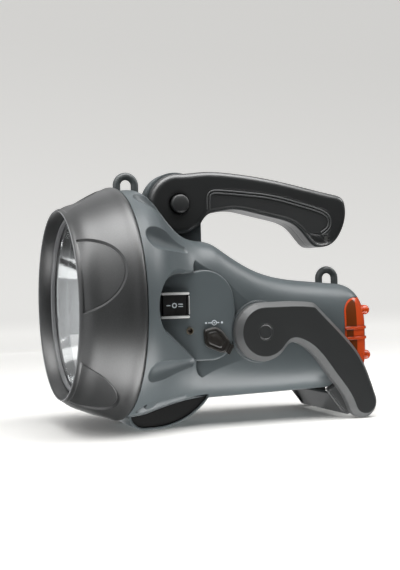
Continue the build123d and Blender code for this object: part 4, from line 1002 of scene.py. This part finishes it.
def sweep():
    """A pale floor that curves up into a backdrop behind the lamp. It gives the lamp no light or shade."""
    bend_start = SWEEP_BACK - SWEEP_BEND
    profile = [(SWEEP_FRONT, 0.0), (bend_start, 0.0)]
    for step in range(1, SWEEP_BEND_STEPS + 1):
        turn = math.radians(90) * step / SWEEP_BEND_STEPS
        profile.append((bend_start + SWEEP_BEND * math.sin(turn), SWEEP_BEND - SWEEP_BEND * math.cos(turn)))
    profile.append((SWEEP_BACK, SWEEP_HEIGHT))
    shape = bmesh.new()
    rows = [[shape.verts.new((side * SWEEP_HALF_WIDTH, y, z)) for side in (-1, 1)] for y, z in profile]
    for low, high in zip(rows, rows[1:]):
        shape.faces.new((low[0], low[1], high[1], high[0]))
    data = mesh_of("sweep", shape)
    data.shade_smooth()
    paper, tree, shader = new_material(
        "backdrop_paper", Base_Color=PAPER, Emission_Color=PAPER, Roughness=0.9
    )
    place = add(tree, "ShaderNodeTexCoord").outputs["Object"]
    away = add(tree, "ShaderNodeVectorMath", {0: place}, operation="LENGTH").outputs["Value"]
    near, far = PAPER_LIFT_REACH
    lift = {"Value": away, "From Min": near, "From Max": far, "To Min": 0.0, "To Max": PAPER_LIFT}
    glow = add(tree, "ShaderNodeMapRange", lift, interpolation_type="SMOOTHSTEP").outputs["Result"]
    tree.links.new(glow, shader.inputs["Emission Strength"])
    data.materials.append(paper)
    stage = placed("sweep", data)
    stage.visible_shadow = False
    stage.visible_diffuse = False
    stage.visible_glossy = False
    stage.visible_transmission = False


def under_card():
    """A dark card below the floor that keeps the light table's light on the switch side."""
    shape = bmesh.new()
    left, right = -CARD_HALF_WIDTH, CARD_HALF_WIDTH
    corners = ((left, CARD_LOW), (right, CARD_LOW), (right, CARD_HIGH), (left, CARD_HIGH))
    shape.faces.new([shape.verts.new((x, CARD_PLACE, z)) for x, z in corners])
    data = mesh_of("under_card", shape)
    data.materials.append(new_material("card_black", Base_Color=linear("#0a0a0a"), Roughness=0.9)[0])
    card = placed("under_card", data)


def studio_air():
    """The room's light: bright overhead and ahead of the lamp, dim elsewhere, pale to the camera."""
    world = bpy.data.worlds.new("studio")
    bpy.context.scene.world = world
    world.use_nodes = True
    tree = world.node_tree
    direction = add(tree, "ShaderNodeTexCoord").outputs["Generated"]
    axes = add(tree, "ShaderNodeSeparateXYZ", {"Vector": direction})
    x, z = axes.outputs["X"], axes.outputs["Z"]
    low, high = ROOM_CLIMB
    climb = {"Value": z, "From Min": low, "From Max": high, "To Min": ROOM_DIM, "To Max": ROOM_BRIGHT}
    overhead = add(tree, "ShaderNodeMapRange", climb).outputs["Result"]
    aside, straight = ROOM_TURN
    turned = {"Value": x, "From Min": aside, "From Max": straight, "To Min": 0.0, "To Max": ROOM_AHEAD}
    ahead = add(tree, "ShaderNodeMapRange", turned).outputs["Result"]
    glow = add(tree, "ShaderNodeMath", {0: overhead, 1: ahead}, operation="ADD").outputs[0]
    seen = add(tree, "ShaderNodeLightPath").outputs["Is Camera Ray"]
    strength = add(tree, "ShaderNodeMix", {0: seen, 2: glow, 3: ROOM_SEEN}, data_type="FLOAT").outputs[0]
    background = tree.nodes["Background"]
    background.inputs["Color"].default_value = linear("#f1f2f4")
    tree.links.new(strength, background.inputs["Strength"])


def area_light(name, place, target, size, watts):
    """A soft rectangular light that faces a target."""
    data = bpy.data.lights.new(name, "AREA")
    data.shape = "RECTANGLE"
    data.size, data.size_y = size
    data.energy = watts
    light = placed(name, data)
    light.location = place
    light.rotation_euler = (Vector(target) - Vector(place)).to_track_quat("-Z", "Y").to_euler()


def camera_view():
    """The camera, ahead of the lamp on its switch side, a little over its middle."""
    data = bpy.data.cameras.new("camera")
    data.sensor_width = 36.0
    data.lens = CAMERA_LENS
    camera = placed("camera", data)
    up = Vector(CAMERA_UP)
    back = Vector(CAMERA_RIGHT).cross(up).normalized()
    right = up.cross(back).normalized()
    turn = Matrix((right, up, back)).transposed().to_4x4()
    camera.matrix_world = Matrix.Translation(Vector(CAMERA_PLACE)) @ turn
    bpy.context.scene.camera = camera


sweep()
under_card()
studio_air()
for light in LIGHTS:
    area_light(*light)
camera_view()
bpy.context.scene.view_settings.view_transform = "Standard"
